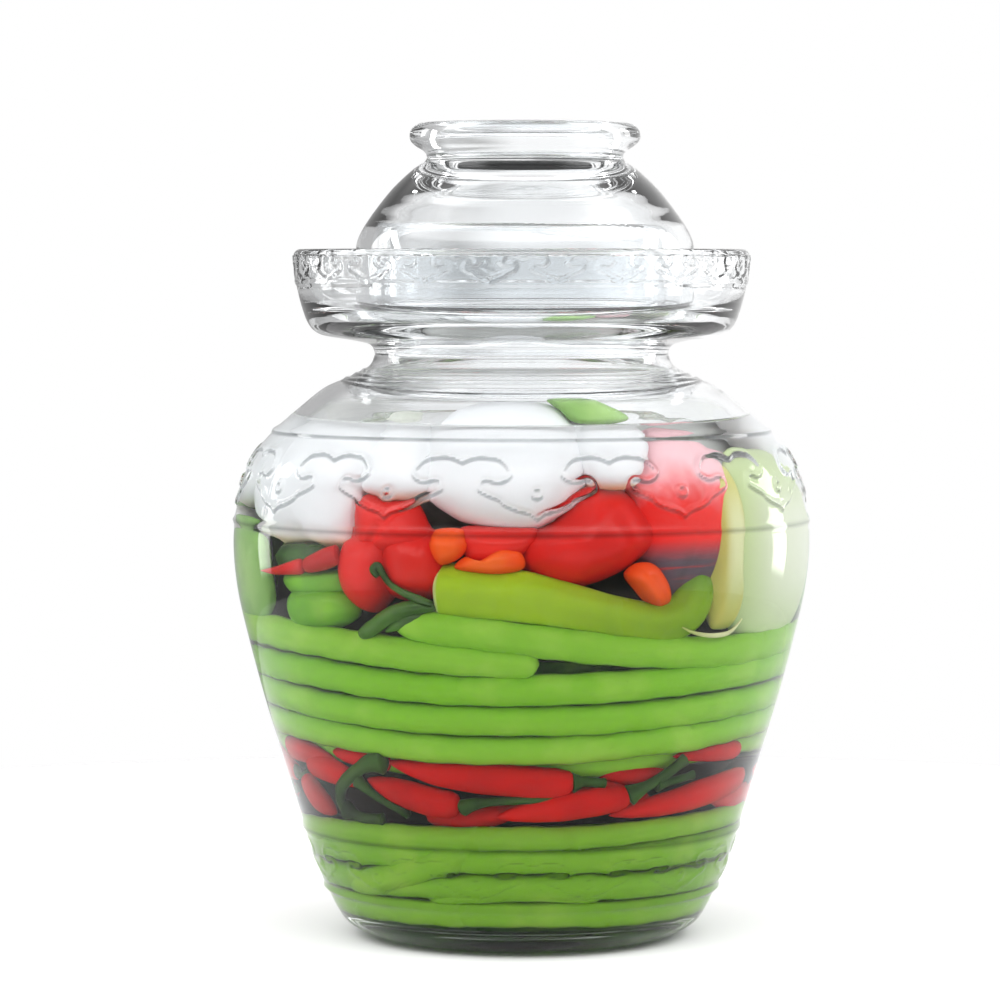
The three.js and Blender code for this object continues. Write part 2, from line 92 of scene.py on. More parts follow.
# Columns round each turned surface, more where it carries a scroll
GLASS_COLUMNS = 160
LOW_SCROLL_COLUMNS = 480
BELLY_SCROLL_COLUMNS = 800
TROUGH_SCROLL_COLUMNS = 640
INSIDE_COLUMNS = 80
LID_COLUMNS = 192
BRINE_COLUMNS = 120

# The contents stay a hair off the glass and draw in near its floor
HAIR = 0.4
HEEL_HEIGHT = 7
HEEL_CURVE = 0.14

# Refraction. Mirror is the share of its mirrored light that glass at the contents keeps, and the glass
# above the bare height, which has no contents behind it, keeps it all
GLASS_IOR = 1.5
BRINE_IOR = 1.333
MIRROR = 0.3
BARE_HEIGHT = 160.5
MOULD_WAVES = 0.05
BRINE_WAVES = 0.02
# Painted shade: colour of the glass on the undersides of raised lines
LINE_SHADE = (0.3, 0.32, 0.33)

# Photograph's view: eye level, focal length in pixels of a 1000 pixel frame, and where the jar's axis falls
FRAME_PIXELS = 1000
FOCAL_PIXELS = 4300
EYE_ROW = 265
AXIS_COLUMN = 521.5
FOOT_ROW = 935
PIXEL = 0.2865
SENSOR = 36

# Studio: a round floor just under the jar, the light's strength by direction, and soft boxes of light by
# azimuth, elevation, half width, half height and strength
FLOOR_RADIUS = 450
FLOOR_TOP = -0.1
FLOOR_FOOT = -3
PAPER = (0.7, 0.7, 0.704)
PAPER_DARK = (0.685, 0.685, 0.689)
FRONT_LIGHT = 0.6
SIDE_LIGHT = 1.9
BACK_LEFT = 0.5
BACK_RIGHT = 1.05
HIGH_LIGHT = 4.2
ZENITH_LIGHT = 0.9
SOFT_BOXES = ((-124, 8, 5, 16, 4.6), (124, 8, 6, 16, 5.4))


class JarSizes(PropertyGroup):
    """Sizes that a user would change, in metres"""

    brine_level: FloatProperty(
        name="Brine level", description="Height of the brine above the table", default=0.147,
        unit="LENGTH", subtype="DISTANCE")
    relief: FloatProperty(
        name="Relief", description="How far the cloud scroll stands proud of the glass", default=0.00085,
        unit="LENGTH", subtype="DISTANCE")
    scroll_line: FloatProperty(
        name="Scroll line", description="Half width of the scroll's raised line", default=0.00064,
        unit="LENGTH", subtype="DISTANCE")


def colour_property(name, description, default):
    return FloatVectorProperty(
        name=name, description=description, default=default, subtype="COLOR", size=3, min=0, max=1)


class JarColours(PropertyGroup):
    """Base colours of the glass, the brine and each kind of vegetable"""

    glass: colour_property("Glass", "Clear glass", (0.94, 0.952, 0.96))
    brine: colour_property("Brine", "Salt water", (0.985, 0.99, 0.975))
    bean: colour_property("Bean", "Green bean pod", (0.23, 0.56, 0.02))
    # Painted shade of a pod's grooves and inner side, and the colour of its dark specks
    bean_dark: colour_property("Bean groove", "Dark side of a bean pod", (0.03, 0.12, 0.008))
    bean_old: colour_property("Soaked bean", "Bean pod at the bottom", (0.2, 0.46, 0.018))
    chilli: colour_property("Chilli", "Red chilli skin", (0.76, 0.004, 0.002))
    stalk: colour_property("Stalk", "Green stalk", (0.05, 0.12, 0.02))
    pepper: colour_property("Red pepper", "Red pepper skin", (0.88, 0.016, 0.01))
    orange: colour_property("Orange pepper", "Orange pepper skin", (0.98, 0.12, 0.008))
    lime: colour_property("Lime pepper", "Light green pepper skin", (0.38, 0.58, 0.02))
    leaf: colour_property("Green piece", "Bright green piece", (0.25, 0.64, 0.02))
    radish: colour_property("Radish", "White radish flesh", (0.93, 0.94, 0.95))
    # Beige of a radish piece's lower edge
    radish_skin: colour_property("Radish lower edge", "Beige lower edge of a radish", (0.88, 0.68, 0.32))
    pale: colour_property("Pale slice", "Pale green flesh", (0.84, 0.88, 0.7))


# Curves and the jar's walls


def spline(points, count, closed=False):
    """Smooth line through points: on each span a cubic whose end slopes are half the step between the
    neighbours."""
    p = np.asarray(points, float)
    n = len(p)
    if closed:
        t = np.linspace(0, n, count, endpoint=False)
        i = t.astype(int)
        before, start, end, after = p[(i - 1) % n], p[i % n], p[(i + 1) % n], p[(i + 2) % n]
    else:
        t = np.linspace(0, n - 1, count)
        i = np.minimum(t.astype(int), n - 2)
        before, start, end, after = p[np.maximum(i - 1, 0)], p[i], p[i + 1], p[np.minimum(i + 2, n - 1)]
    w = (t - i)[:, None]
    slope = end - before
    bend = 2 * before - 5 * start + 4 * end - after
    return start + 0.5 * w * (slope + w * (bend + w * (3 * (start - end) + after - before)))


def unit(v):
    """Vectors scaled to length one."""
    return v / np.maximum(np.linalg.norm(v, axis=-1, keepdims=True), 1e-9)


def way_along(points):
    """How far along a line each of its points lies."""
    return np.concatenate([[0], np.cumsum(np.linalg.norm(np.diff(points, axis=0), axis=1))])


def resample(points, spacing):
    """Points spread evenly along a line, about one spacing apart."""
    length = way_along(points)
    count = max(int(round(length[-1] / spacing)), 1) + 1
    even = np.linspace(0, length[-1], count)
    return np.stack([np.interp(even, length, column) for column in points.T], 1)


def smooth(points, count, spacing):
    """The smooth line through points, spread evenly."""
    return resample(spline(points, count), spacing)


def bearings(columns):
    """As many bearings round the jar as there are columns."""
    return np.arange(columns)[None, :] * 360 / columns


def polar(bearing, radius, z):
    """Points at a bearing, a distance from the axis and a height."""
    angle = np.radians(bearing)
    return np.stack(np.broadcast_arrays(radius * np.sin(angle), -radius * np.cos(angle), z), -1)


BODY_LINE = spline(BODY, 800)
BODY_SLOPE = unit(np.gradient(BODY_LINE, axis=0))
INNER_LINE = BODY_LINE + WALL * np.stack([-BODY_SLOPE[:, 1], BODY_SLOPE[:, 0]], 1)
INNER_RISE = np.maximum.accumulate(INNER_LINE[:, 1])


def outer_radius(z):
    """Radius of the body's outside, without its rings."""
    return np.interp(z, BODY_LINE[:, 1], BODY_LINE[:, 0])


def inner_radius(z):
    """Radius of the body's inside."""
    return np.interp(z, INNER_RISE, INNER_LINE[:, 0])


def room_radius(z):
    """Radius that the contents may reach: the inside of the glass less a hair, drawn in at the heel."""
    heel = np.clip(FLOOR + HEEL_HEIGHT - np.asarray(z, float), 0, None) ** 2 * HEEL_CURVE
    return inner_radius(np.maximum(z, 10)) - HAIR - heel


def around(bearing, z, depth):
    """Points inside the jar: a bearing, a height, and a depth in from the wall."""
    return polar(bearing, room_radius(z) - depth, z)


def ridge(distance, half_width):
    """Rounded raised line: a bell of the distance from its middle."""
    return np.exp(-((distance / half_width) ** 2))


def ripple(seed, *coordinates):
    """Smooth unevenness: a sum of four sine waves of the coordinates, with frequencies drawn from a
    seed."""
    rng = np.random.default_rng(seed)
    total = 0
    for step in range(4):
        waves = rng.uniform(0.6, 1.4, len(coordinates)) * (1 + step * 0.6)
        phase = rng.uniform(0, TURN)
        total = total + np.sin(sum(w * c for w, c in zip(waves, coordinates)) + phase) / (1 + step)
    return total / 2.1


# Meshes


def corner_volume(points, a, b, c):
    """Six times the signed volume between triangles and the origin."""
    return np.einsum("ij,ij->i", points[a], np.cross(points[b], points[c])).sum()


def wall_quads(rows, columns, first=0):
    """Quads of a grid whose columns wrap round and whose vertices count on from first."""
    row = first + np.arange(rows - 1)[:, None] * columns
    column = np.arange(columns)
    turn = (column + 1) % columns
    above = row + columns
    corners = np.broadcast_arrays(row + column, row + turn, above + turn, above + column)
    return np.stack(corners, -1).reshape(-1, 4)


def fan(pole, first, columns):
    """Triangles from a pole to a ring of columns whose vertices count on from first."""
    column = np.arange(columns)
    return np.stack([np.full(columns, pole), first + (column + 1) % columns, first + column], 1)


class Surface:
    """Closed surfaces gathered into one mesh, with named numbers kept at each vertex"""

    def __init__(self):
        self.points = []
        self.quads = []
        self.triangles = []
        self.values = {}
        self.count = 0

    def add_faces(self, points, quads, triangles, values):
        """Adds a closed surface, turned inside out first if its faces look inwards."""
        volume = corner_volume(points, *triangles.T)
        volume += corner_volume(points, *quads[:, :3].T) + corner_volume(points, *quads[:, [0, 2, 3]].T)
        if volume < 0:
            quads = quads[:, ::-1]
            triangles = triangles[:, ::-1]
        self.points.append(points)
        self.quads.append(quads + self.count)
        self.triangles.append(triangles + self.count)
        for name, value in values.items():
            self.values.setdefault(name, []).append(value)
        self.count += len(points)

    def add(self, grid, **values):
        """A grid whose columns wrap round, with a fan of triangles closing each end on one vertex."""
        rows, columns = grid.shape[:2]
        points = np.vstack([grid.reshape(-1, 3), grid[0].mean(0), grid[-1].mean(0)])
        low = rows * columns
        fans = np.vstack([fan(low, 0, columns), fan(low + 1, low - columns, columns)[:, [0, 2, 1]]])
        kept = {}
        for name, value in values.items():
            full = np.broadcast_to(value, (rows, columns))
            kept[name] = np.concatenate([full.ravel(), [full[0].mean(), full[-1].mean()]])
        self.add_faces(points, wall_quads(rows, columns), fans, kept)

    def object(self, name, *materials):
        """The gathered surfaces as a smooth shaded object with its vertices in metres."""
        points = np.vstack(self.points) * MM
        quads = np.vstack(self.quads)
        triangles = np.vstack(self.triangles)
        corners = np.concatenate([quads.ravel(), triangles.ravel()]).astype(np.int32)
        starts = np.concatenate([np.arange(len(quads)) * 4, len(quads) * 4 + np.arange(len(triangles)) * 3])
        mesh = bpy.data.meshes.new(name)
        mesh.vertices.add(len(points))
        mesh.vertices.foreach_set("co", points.astype(np.float32).ravel())
        mesh.loops.add(len(corners))
        mesh.loops.foreach_set("vertex_index", corners)
        mesh.polygons.add(len(starts))
        mesh.polygons.foreach_set("loop_start", starts.astype(np.int32))
        mesh.polygons.foreach_set("use_smooth", np.ones(len(starts), bool))
        mesh.update(calc_edges=True)
        if mesh.validate():
            raise RuntimeError(f"{name} had faces that don't fit together")
        for key, value in self.values.items():
            layer = mesh.attributes.new(key, "FLOAT", "POINT")
            layer.data.foreach_set("value", np.concatenate(value).astype(np.float32))
        for material in materials:
            mesh.materials.append(material)
        obj = bpy.data.objects.new(name, mesh)
        bpy.context.scene.collection.objects.link(obj)
        return obj


def settle(obj, slot, *nodes):
    """Rides the piece on the jar's body and hides the nodes that it stands for. Its slot is not used."""
    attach(obj, "root")
    if nodes:
        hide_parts(*nodes)
    return obj


def tube(stations, thickness, shape, steps=90, sides=18, flat=1.0, wobble=0.0, ridges=0, seed=1):
    """Round section carried along the smooth line through stations of bearing, height and depth. Its radius
    is half the thickness times shape, a function of the way along from 0 to 1 and of the length. Ridges
    adds that many shallow lengthwise lobes."""
    line = spline(stations, 300)
    points = around(line[:, 0], line[:, 1], line[:, 2])
    way = way_along(points)
    length = way[-1]
    even = np.linspace(0, 1, steps)
    along = 0.5 * (0.5 - 0.5 * np.cos(np.pi * even)) + 0.5 * even
    points = np.stack([np.interp(along * length, way, column) for column in points.T], 1)
    tangent = unit(np.gradient(points, axis=0))
    outward = points * (1, 1, 0)
    outward = unit(outward - tangent * (outward * tangent).sum(1, keepdims=True))
    side = np.cross(tangent, outward)
    angle = TURN * np.arange(sides) / sides
    swell = 1 + wobble * ripple(seed, along[:, None] * length / 7, 2 * np.sin(angle)[None, :])
    if ridges:
        swell = swell + 0.06 * np.cos(ridges * angle + 0.8)[None, :]
    radius = (thickness / 2 * shape(along, length))[:, None] * swell
    section = (outward[:, None] * (flat * np.cos(angle))[None, :, None]
               + side[:, None] * np.sin(angle)[None, :, None])
    return points[:, None] + radius[..., None] * section, along[:, None], np.cos(angle)[None, :]


def smooth_radii(*marks):
    """Shape for tube from pairs of way along and radius in millimetres, joined by a smooth line. It goes
    with a thickness of 2."""
    line = spline(marks, 200)
    return lambda along, length: np.interp(along, line[:, 0], np.maximum(line[:, 1], 0.05))


def pod_shape(bumps=0.03, taper=1.9):
    """A bean's radius: level, easing to a blunt point over a few radii at each end, with a slow swell at
    each seed."""
    def shape(along, length):
        end = np.minimum(along, 1 - along) * length / (taper * 4.2)
        point = 1 - (1 - np.clip(end, 0, 1)) ** 2.2
        return np.maximum(point, 0.02) ** 0.62 * (1 + bumps * np.sin(TURN * along * length / 12.5))
    return shape


def chilli_shape(along, length):
    """A chilli's radius from its stalk end to its tip."""
    marks = (0, 0.03, 0.1, 0.25, 0.5, 0.72, 0.88, 0.97, 1)
    sizes = (0.35, 0.72, 0.92, 1, 0.97, 0.78, 0.48, 0.2, 0.03)
    return np.interp(along, marks, sizes)


def stalk_shape(along, length):
    """A stalk's radius: a flared cap, a thin stem and a thicker cut end."""
    return np.interp(along, (0, 0.04, 0.14, 0.3, 0.85, 0.97, 1), (0.5, 1.5, 1.15, 0.75, 0.7, 0.9, 0.3))


def pillow(outline, depth, inset=0.0, crown=0.8, lumps=0.03, seed=1, rows=40, columns=96, folds=()):
    """A piece that lies against the glass. Its outline is a closed smooth line of bearings and heights, its
    front follows the wall and its back rounds inwards: rows run from the middle of the front to the middle
    of the back, and each row is the outline shrunk by the sine of the way round, raised to a power. A fold
    is a crease at a bearing that leans by so many degrees a millimetre, with its half width and how deep it
    goes."""
    edge = spline(outline, columns, closed=True)
    middle = (edge.min(0) + edge.max(0)) / 2
    way = np.pi * np.linspace(0, 1, rows + 2)[1:-1, None]
    shrink = np.sin(way) ** 0.72
    column = np.arange(columns)[None, :] * TURN / columns
    uneven = 1 + lumps * ripple(seed, 3 * way, 2 * np.sin(column), 2 * np.cos(column))
    bearing = middle[0] + (edge[:, 0] - middle[0])[None, :] * shrink * uneven
    height = middle[1] + (edge[:, 1] - middle[1])[None, :] * shrink * uneven
    facing = np.cos(way)
    profile = 0.5 - 0.5 * np.sign(facing) * np.abs(facing) ** crown
    sunk = inset + depth * profile * uneven
    for fold_bearing, lean, width, amount in folds:
        line = fold_bearing + lean * (height - middle[1])
        sunk = sunk + amount * ridge(bearing - line, width) * np.clip(0.4 + facing, 0, 1)
    values = dict(
        rim=np.where(facing > 0, shrink, 1.0),
        rise=(height - edge[:, 1].min()) / np.ptp(edge[:, 1]),
        side=(bearing - edge[:, 0].min()) / np.ptp(edge[:, 0]))
    return around(bearing, height, sunk), values


def limb(stations, *radii, **options):
    """A tube of varying radius, with the numbers that the finishes read."""
    grid, along, crown = tube(stations, 2, smooth_radii(*radii), **options)
    return grid, dict(rim=0 * along, rise=along, side=crown)


# Shader maths


class Flow:
    """A value in a node tree. Plus, times and divide add Math nodes, so that formulas read as formulas."""

    def __init__(self, tree, socket):
        self.tree = tree
        self.socket = socket

    def node(self, kind, settings=None, output=0, **inputs):
        """Any other node: its type, its settings, which are set first, and the values or links of its
        sockets."""
        made = self.tree.nodes.new(kind)
        for key, value in (settings or {}).items():
            setattr(made, key, value)
        for key, value in inputs.items():
            target = made.inputs[int(key[1:])] if key[0] == "_" else made.inputs[key.replace("_", " ")]
            if isinstance(value, Flow):
                self.tree.links.new(value.socket, target)
            else:
                target.default_value = value
        return Flow(self.tree, made.outputs[output])

    def math(self, operation, other=0.0):
        return self.node("ShaderNodeMath", {"operation": operation}, _0=self, _1=other)

    def __add__(self, other):
        return self.math("ADD", other)

    def __mul__(self, other):
        return self.math("MULTIPLY", other)

    def __truediv__(self, other):
        return self.math("DIVIDE", other)

    def band(self, low, high):
        """0 at low, 1 at high, smooth between."""
        settings = {"interpolation_type": "SMOOTHSTEP"}
        return self.node("ShaderNodeMapRange", settings, Value=self, From_Min=low, From_Max=high)

    def blend(self, first, second):
        """The first number where this value is 0, the second where it is 1."""
        return self.node("ShaderNodeMix", {"data_type": "FLOAT"}, _0=self, _2=first, _3=second)

    def mix(self, first, second):
        """The first colour where this value is 0, the second where it is 1."""
        colours = {"_6": first, "_7": second}
        return self.node("ShaderNodeMix", {"data_type": "RGBA"}, output=2, _0=self, **colours)


class Finish:
    """A material under way: its node tree, its shader and the places that patterns read"""

    def __init__(self, name):
        self.material = bpy.data.materials.new(name)
        self.material.use_nodes = True
        self.tree = self.material.node_tree
        self.shader = self.tree.nodes["Principled BSDF"]
        self.start = Flow(self.tree, None)

    def wet(self, shine=0.1):
        """In brine a wet skin mirrors far less than in air."""
        self.set(Specular_IOR_Level=shine)

    def set(self, **values):
        for key, value in values.items():
            self.shader.inputs[key.replace("_", " ")].default_value = value

    def feed(self, socket, flow):
        self.tree.links.new(flow.socket, self.shader.inputs[socket])

    def place(self):
        return self.start.node("ShaderNodeTexCoord", output=3)

    def value(self, attribute):
        return self.start.node("ShaderNodeAttribute", {"attribute_name": attribute}, output=2)

    def noise(self, scale, detail=3.0, stretch=(1, 1, 1)):
        """Fine unevenness on the object's own coordinates, with a scale in features a metre."""
        place = self.start.node("ShaderNodeMapping", Vector=self.place(), Scale=stretch)
        return self.start.node("ShaderNodeTexNoise", Vector=place, Scale=scale, Detail=detail)

    def bump(self, height, strength, distance):
        inputs = dict(Height=height, Strength=strength, Distance=distance)
        self.feed("Normal", self.start.node("ShaderNodeBump", **inputs))


# Painted shadow: the near black brown of the dark gaps between pieces
HOLLOW = (0.018, 0.01, 0.006)


def rgba(colour, factor=1.0):
    return (*(min(channel * factor, 1) for channel in colour), 1)


def glass_finish(name, colour, ior, waves, line=None, mirror=MIRROR):
    """Clear and smooth, with faint waves left by the mould. A line colour dims the undersides of raised
    lines, which look dark because they turn the light away."""
    made = Finish(name)
    made.set(Base_Color=rgba(colour), Roughness=0.0, IOR=ior, Transmission_Weight=1.0,
             Specular_Tint=rgba((1, 1, 1), mirror))
    if waves:
        made.bump(made.noise(55, 2, (1, 1, 0.6)), waves, 0.001)
    if line:
        # Painted shade on the undersides of raised lines
        made.feed("Base Color", made.value("flank").band(0.1, 0.8).mix(rgba(colour), rgba(line)))
    return made.material


def bean_finish(name, light, dark, pale, spots):
    """Green pod: painted shade darkening it towards the grooves and away from the glass, paler stretches
    along it, dark specks and a wet gloss.
    """
    made = Finish(name)
    tint = made.value("tint")
    mottle = made.noise(70, 4)
    fine = made.noise(520, 3)
    body = made.value("crown").band(-0.15, 0.5).mix(rgba(dark), rgba(light))
    lit = (mottle.band(0.46, 0.74) * 0.45 + tint * 0.3).mix(body, rgba(pale))
    made.feed("Base Color", (fine.band(0.66, 0.78) * spots).mix(lit, rgba(dark)))
    made.feed("Roughness", mottle * 0.2 + 0.2)
    made.bump(fine * 0.3 + mottle, 0.3, 0.0008)
    made.wet()
    return made.material


def skin_finish(name, colour, shade, pale, gloss=0.16, scale=60, amount=0.35, shine=0.18):
    """Pepper or chilli skin: darker and paler patches, painted shade towards its rim, a waxy gloss and fine
    dimples. A rim from 1 to 3 darkens it further to the painted shadow of a deep gap."""
    made = Finish(name)
    mottle = made.noise(scale, 4)
    fine = made.noise(scale * 9, 2)
    body = (mottle.band(0.35, 0.62) * 0.6 + made.value("tint") * 0.4).mix(rgba(shade), rgba(colour))
    lit = (made.noise(scale * 0.6, 2).band(0.56, 0.78) * amount).mix(body, rgba(pale))
    # Painted shade: darker towards the rim and on the back
    edged = (made.value("rim").band(0.3, 1.0) * 0.7).mix(lit, rgba(shade))
    made.feed("Base Color", made.value("rim").band(1.0, 3.0).mix(edged, rgba(HOLLOW)))
    made.feed("Roughness", mottle * 0.14 + gloss)
    made.wet(shine)
    made.bump(fine * 0.15 + mottle, 0.2, 0.0008)
    return made.material


def side_pepper_finish(name, colour):
    """Red pepper whose top pales to pinkish white and whose foot goes purple grey in level streaks of
    painted shade.
    """
    made = Finish(name)
    rise = made.value("rise")
    mottle = made.noise(80, 4)
    layers = made.noise(40, 3, (1, 1, 12))
    # Painted shade: the foot darkens to purple grey in level streaks
    low = (rise.band(0.42, 0.24) * layers.band(0.2, 0.5)).mix(rgba(colour), rgba((0.1, 0.07, 0.09)))
    high = (rise + mottle * 0.35).band(0.74, 1.02).mix(low, rgba((0.95, 0.58, 0.62)))
    made.feed("Base Color", high)
    made.feed("Roughness", mottle * 0.2 + 0.2)
    made.bump(mottle, 0.2, 0.0008)
    made.wet()
    return made.material


def radish_finish(name, flesh, skin):
    """White flesh with faint veins, beige along the lower edge as far as tint says."""
    made = Finish(name)
    mottle = made.noise(70, 4)
    veins = made.noise(260, 4, (1, 1, 0.25))
    greyed = mottle.band(0.4, 0.75) * 0.25 + veins.band(0.5, 0.75) * 0.12
    soft = greyed.mix(rgba(flesh), rgba(flesh, 0.88))
    edge = made.value("rise").band(0.2, 0.02) * made.value("tint") * (mottle * 0.5 + 0.75)
    made.feed("Base Color", edge.mix(soft, rgba(skin)))
    made.feed("Roughness", mottle * 0.2 + 0.35)
    made.bump(veins * 0.6 + mottle, 0.2, 0.0008)
    made.wet()
    return made.material


def pale_finish(name, flesh, rind, low_colour):
    """Pale flesh, greener towards its foot, with a darker skin colour at its left edge and painted shade of
    the same colour towards its rim.
    """
    made = Finish(name)
    mottle = made.noise(60, 4)
    body = made.value("rise").band(0.0, 0.55).mix(rgba(low_colour), rgba(flesh))
    edge = made.value("side").band(0.5, 0.0) * made.value("tint")
    # Painted shade towards the rim, with the skin colour at the left edge
    green = made.value("rim").band(0.35, 0.95) * 0.7 + edge + mottle * 0.1
    made.feed("Base Color", green.mix(body, rgba(rind)))
    made.feed("Roughness", mottle * 0.2 + 0.3)
    made.bump(mottle, 0.2, 0.0008)
    made.wet()
    return made.material


def lime_finish(name, colour, shade, cut_colour):
    """Light green pepper: paler at its cut end, darker and browner towards its turned-up tip, where the
    darkening is painted shade.
    """
    made = Finish(name)
    mottle = made.noise(50, 4)
    along = made.value("rise")
    # Painted shade: darker towards the turned-up tip, darkest at the tip itself
    body = (along.band(0.35, 0.8) * 0.8 + mottle.band(0.45, 0.7) * 0.3).mix(rgba(colour), rgba(shade))
    tip = (along.band(0.88, 1.0) * 0.8).mix(body, rgba((0.1, 0.25, 0.02)))
    made.feed("Base Color", along.band(0.02, 0.006).mix(tip, rgba(cut_colour)))
    made.feed("Roughness", mottle * 0.15 + 0.2)
    made.wet()
    made.bump(mottle, 0.2, 0.0008)
    return made.material


def core_finish(name):
    """What lies behind the pieces: a dark greenish sheet of painted shade low down, where the gaps between
    them are deep, and pale higher up.
    """
    made = Finish(name)
    mottle = made.noise(60, 4)
    pale = (made.value("rise") + mottle * 0.3).band(0.62, 0.9)
    # Painted shade low down, pale higher up
    made.feed("Base Color", pale.mix(rgba((0.035, 0.03, 0.012)), rgba((0.75, 0.76, 0.74))))
    made.feed("Roughness", mottle * 0.2 + 0.3)
    made.bump(mottle, 0.4, 0.002)
    made.wet()
    return made.material


# Glass shapes


# One cloud head of the belly's scroll, left half: degrees from its middle, and height above its V point
CLOUD = (
    (0, 14.8), (2.2, 15.9), (4.6, 16.1), (7.8, 15.3), (9.9, 12.3), (9.3, 10.5), (7.9, 9.7), (6.5, 9.8),
    (5.2, 10.3), (4.1, 9.7), (3.7, 8.2), (3.9, 7.4), (5.6, 6.2), (7.5, 5.2), (8.4, 4.4), (9.0, 3.6),
    (11.4, 2.2), (13.6, 1.4), (15, 0),
)
CLOUD_PITCH = 30
CLOUD_HEIGHT = 16.1
# Bands of cloud heads: the glass's radius there, how many heads go round, the bearing of one of them, the
# heights from and to, and the line's width and height as shares of the sizes in the panel
BELLY_SCROLL = dict(radius=79, units=12, head=-12.3, low=124.1, high=140.2, seams=SEAM_BEARINGS)
TROUGH_SCROLL = dict(
    radius=64.5, units=22, head=-16.2, low=187.6, high=195, width=0.8, rise=0.4, dots=False)
LOW_SCROLL = dict(radius=59, units=12, head=2.7, low=17.6, high=28.6, width=0.8, rise=0.4)
# The small ring over each V point: its height as a share of the band's, and its radius
DOT_HEIGHT = 0.41
DOT_RADIUS = 1.25
# A mould seam is a faint line: half its width in degrees, and its height as a share of the scroll's
SEAM_HALF_WIDTH = 0.22
SEAM_RISE = 0.35


def scroll(bearing, z, radius, units, head, low, high, line, dots):
    """Height of a band of cloud heads, from 0 to 1: a ridge along each head's outline and round the small
    ring over each V, from every point's distance to the nearest piece of the line."""
    pitch = 360 / units
    local = (bearing - head + pitch / 2) % pitch - pitch / 2
    scale = math.radians(1) * radius
    path = spline(np.array(CLOUD) * (pitch / CLOUD_PITCH * scale, (high - low) / CLOUD_HEIGHT), 70)
    x = np.abs(local) * scale
    y = z - low
    nearest = np.full(np.broadcast(x, y).shape, 1e9)
    for start, end in zip(path[:-1], path[1:]):
        step = end - start
        t = np.clip(((x - start[0]) * step[0] + (y - start[1]) * step[1]) / (step @ step), 0, 1)
        nearest = np.minimum(nearest, np.hypot(x - start[0] - t * step[0], y - start[1] - t * step[1]))
    if dots:
        dot = np.hypot(x - pitch / 2 * scale, y - DOT_HEIGHT * (high - low))
        nearest = np.minimum(nearest, np.abs(dot - DOT_RADIUS * pitch / CLOUD_PITCH))
    return ridge(nearest, line)


def scroll_relief(sizes, width=1.0, rise=1.0, dots=True, seams=(), **band):
    """How far a band of scroll and the mould's seams stand proud, as a function of bearing and height."""
    line = sizes.scroll_line / MM * width

    def relief(bearing, z):
        raised = scroll(bearing, z, line=line, dots=dots, **band)
        for seam in seams:
            raised = raised + SEAM_RISE * ridge((bearing - seam + 180) % 360 - 180, SEAM_HALF_WIDTH)
        return raised * sizes.relief / MM * rise
    return relief


def ring_heights(z):
    """How far the four rings stand proud at a height."""
    return sum(height * ridge(z - ring, RING_HALF_WIDTH) for ring, height in RINGS)


def lathe_rings(profile, columns, relief=None, offset=0.0, waves=0.0):
    """A profile of radius and height turned round the axis, moved along its own normal by relief and faint
    waves."""
    slope = unit(np.gradient(profile, axis=0))
    normal = np.stack([slope[:, 1], -slope[:, 0]], 1)
    bearing = bearings(columns)
    radius, height = profile[:, :1], profile[:, 1:]
    push = np.zeros((len(profile), columns))
    if relief:
        push = push + relief(bearing, height)
    if waves:
        angle = np.radians(bearing)
        push = push + waves * ripple(11, 0.05 * height, 2 * np.sin(angle), 2 * np.cos(angle))
    radius = np.maximum(radius + normal[:, :1] * push, 0.01)
    return polar(bearing, radius, height + normal[:, 1:] * push) + (offset, 0, 0)


def stitch(first, second, coarse, fine):
    """Triangles between a ring of few columns and one of a whole multiple of them, starting at vertices
    first and second."""
    times = fine // coarse
    cell = np.repeat(np.arange(coarse), times)
    step = np.tile(np.arange(times), coarse)
    near = cell * times + step
    far = (near + 1) % fine
    corner = np.where(step < times / 2, cell, (cell + 1) % coarse)
    strips = np.stack([first + corner, second + near, second + far], 1)
    column = np.arange(coarse)
    middle = second + (column * times + (times + 1) // 2) % fine
    bridges = np.stack([first + column, middle, first + (column + 1) % coarse], 1)
    return strips, bridges


def flank(rows, columns, relief):
    """How far each point of a block of rings lies on the underside of a raised line, from 0 to 1: the rise
    of the relief with height, for its own height of one."""
    z = rows[:, 1:2]
    step = 0.15
    rise = relief(bearings(columns), z + step) - relief(bearings(columns), z - step)
    return np.clip(rise / (2 * step), 0, 1)


def ring_flank(rows):
    """The same for the four rings: their rise over a small step, times the ring shade."""
    z = rows[:, 1:2]
    step = 0.2
    return np.clip(ring_heights(z + step) - ring_heights(z - step), 0, 1) * RING_SHADE


def turned_surface(parts, **values):
    """One closed surface from blocks of rings, bottom pole to top pole. Neighbouring blocks may differ in
    their number of columns by a whole multiple, and triangles join them. Values give each block's number or
    numbers."""
    points = np.vstack([part.reshape(-1, 3) for part in parts])
    kept = {}
    for name, blocks in values.items():
        spread = [np.broadcast_to(block, part.shape[:2]).ravel() for block, part in zip(blocks, parts)]
        kept[name] = np.concatenate([*spread, [0, 0]])
    quads = []
    triangles = []
    first = 0
    previous = None
    for part in parts:
        rows, columns = part.shape[:2]
        quads.append(wall_quads(rows, columns, first))
        if previous:
            start, count = previous
            column = np.arange(columns)
            turn = (column + 1) % columns
            if count == columns:
                quads.append(np.stack([start + column, start + turn, first + turn, first + column], 1))
            elif count < columns:
                strips, bridges = stitch(start, first, count, columns)
                triangles += [strips[:, [0, 2, 1]], bridges[:, [0, 2, 1]]]
            else:
                triangles += list(stitch(first, start, columns, count))
        previous = (first + (rows - 1) * columns, columns)
        first += rows * columns
    low = len(points)
    points = np.vstack([points, parts[0][0].mean(0), parts[-1][-1].mean(0)])
    triangles += [fan(low, 0, parts[0].shape[1]), fan(low + 1, *previous)[:, ::-1]]
    surface = Surface()
    surface.add_faces(points, np.vstack(quads), np.vstack(triangles), kept)
    return surface


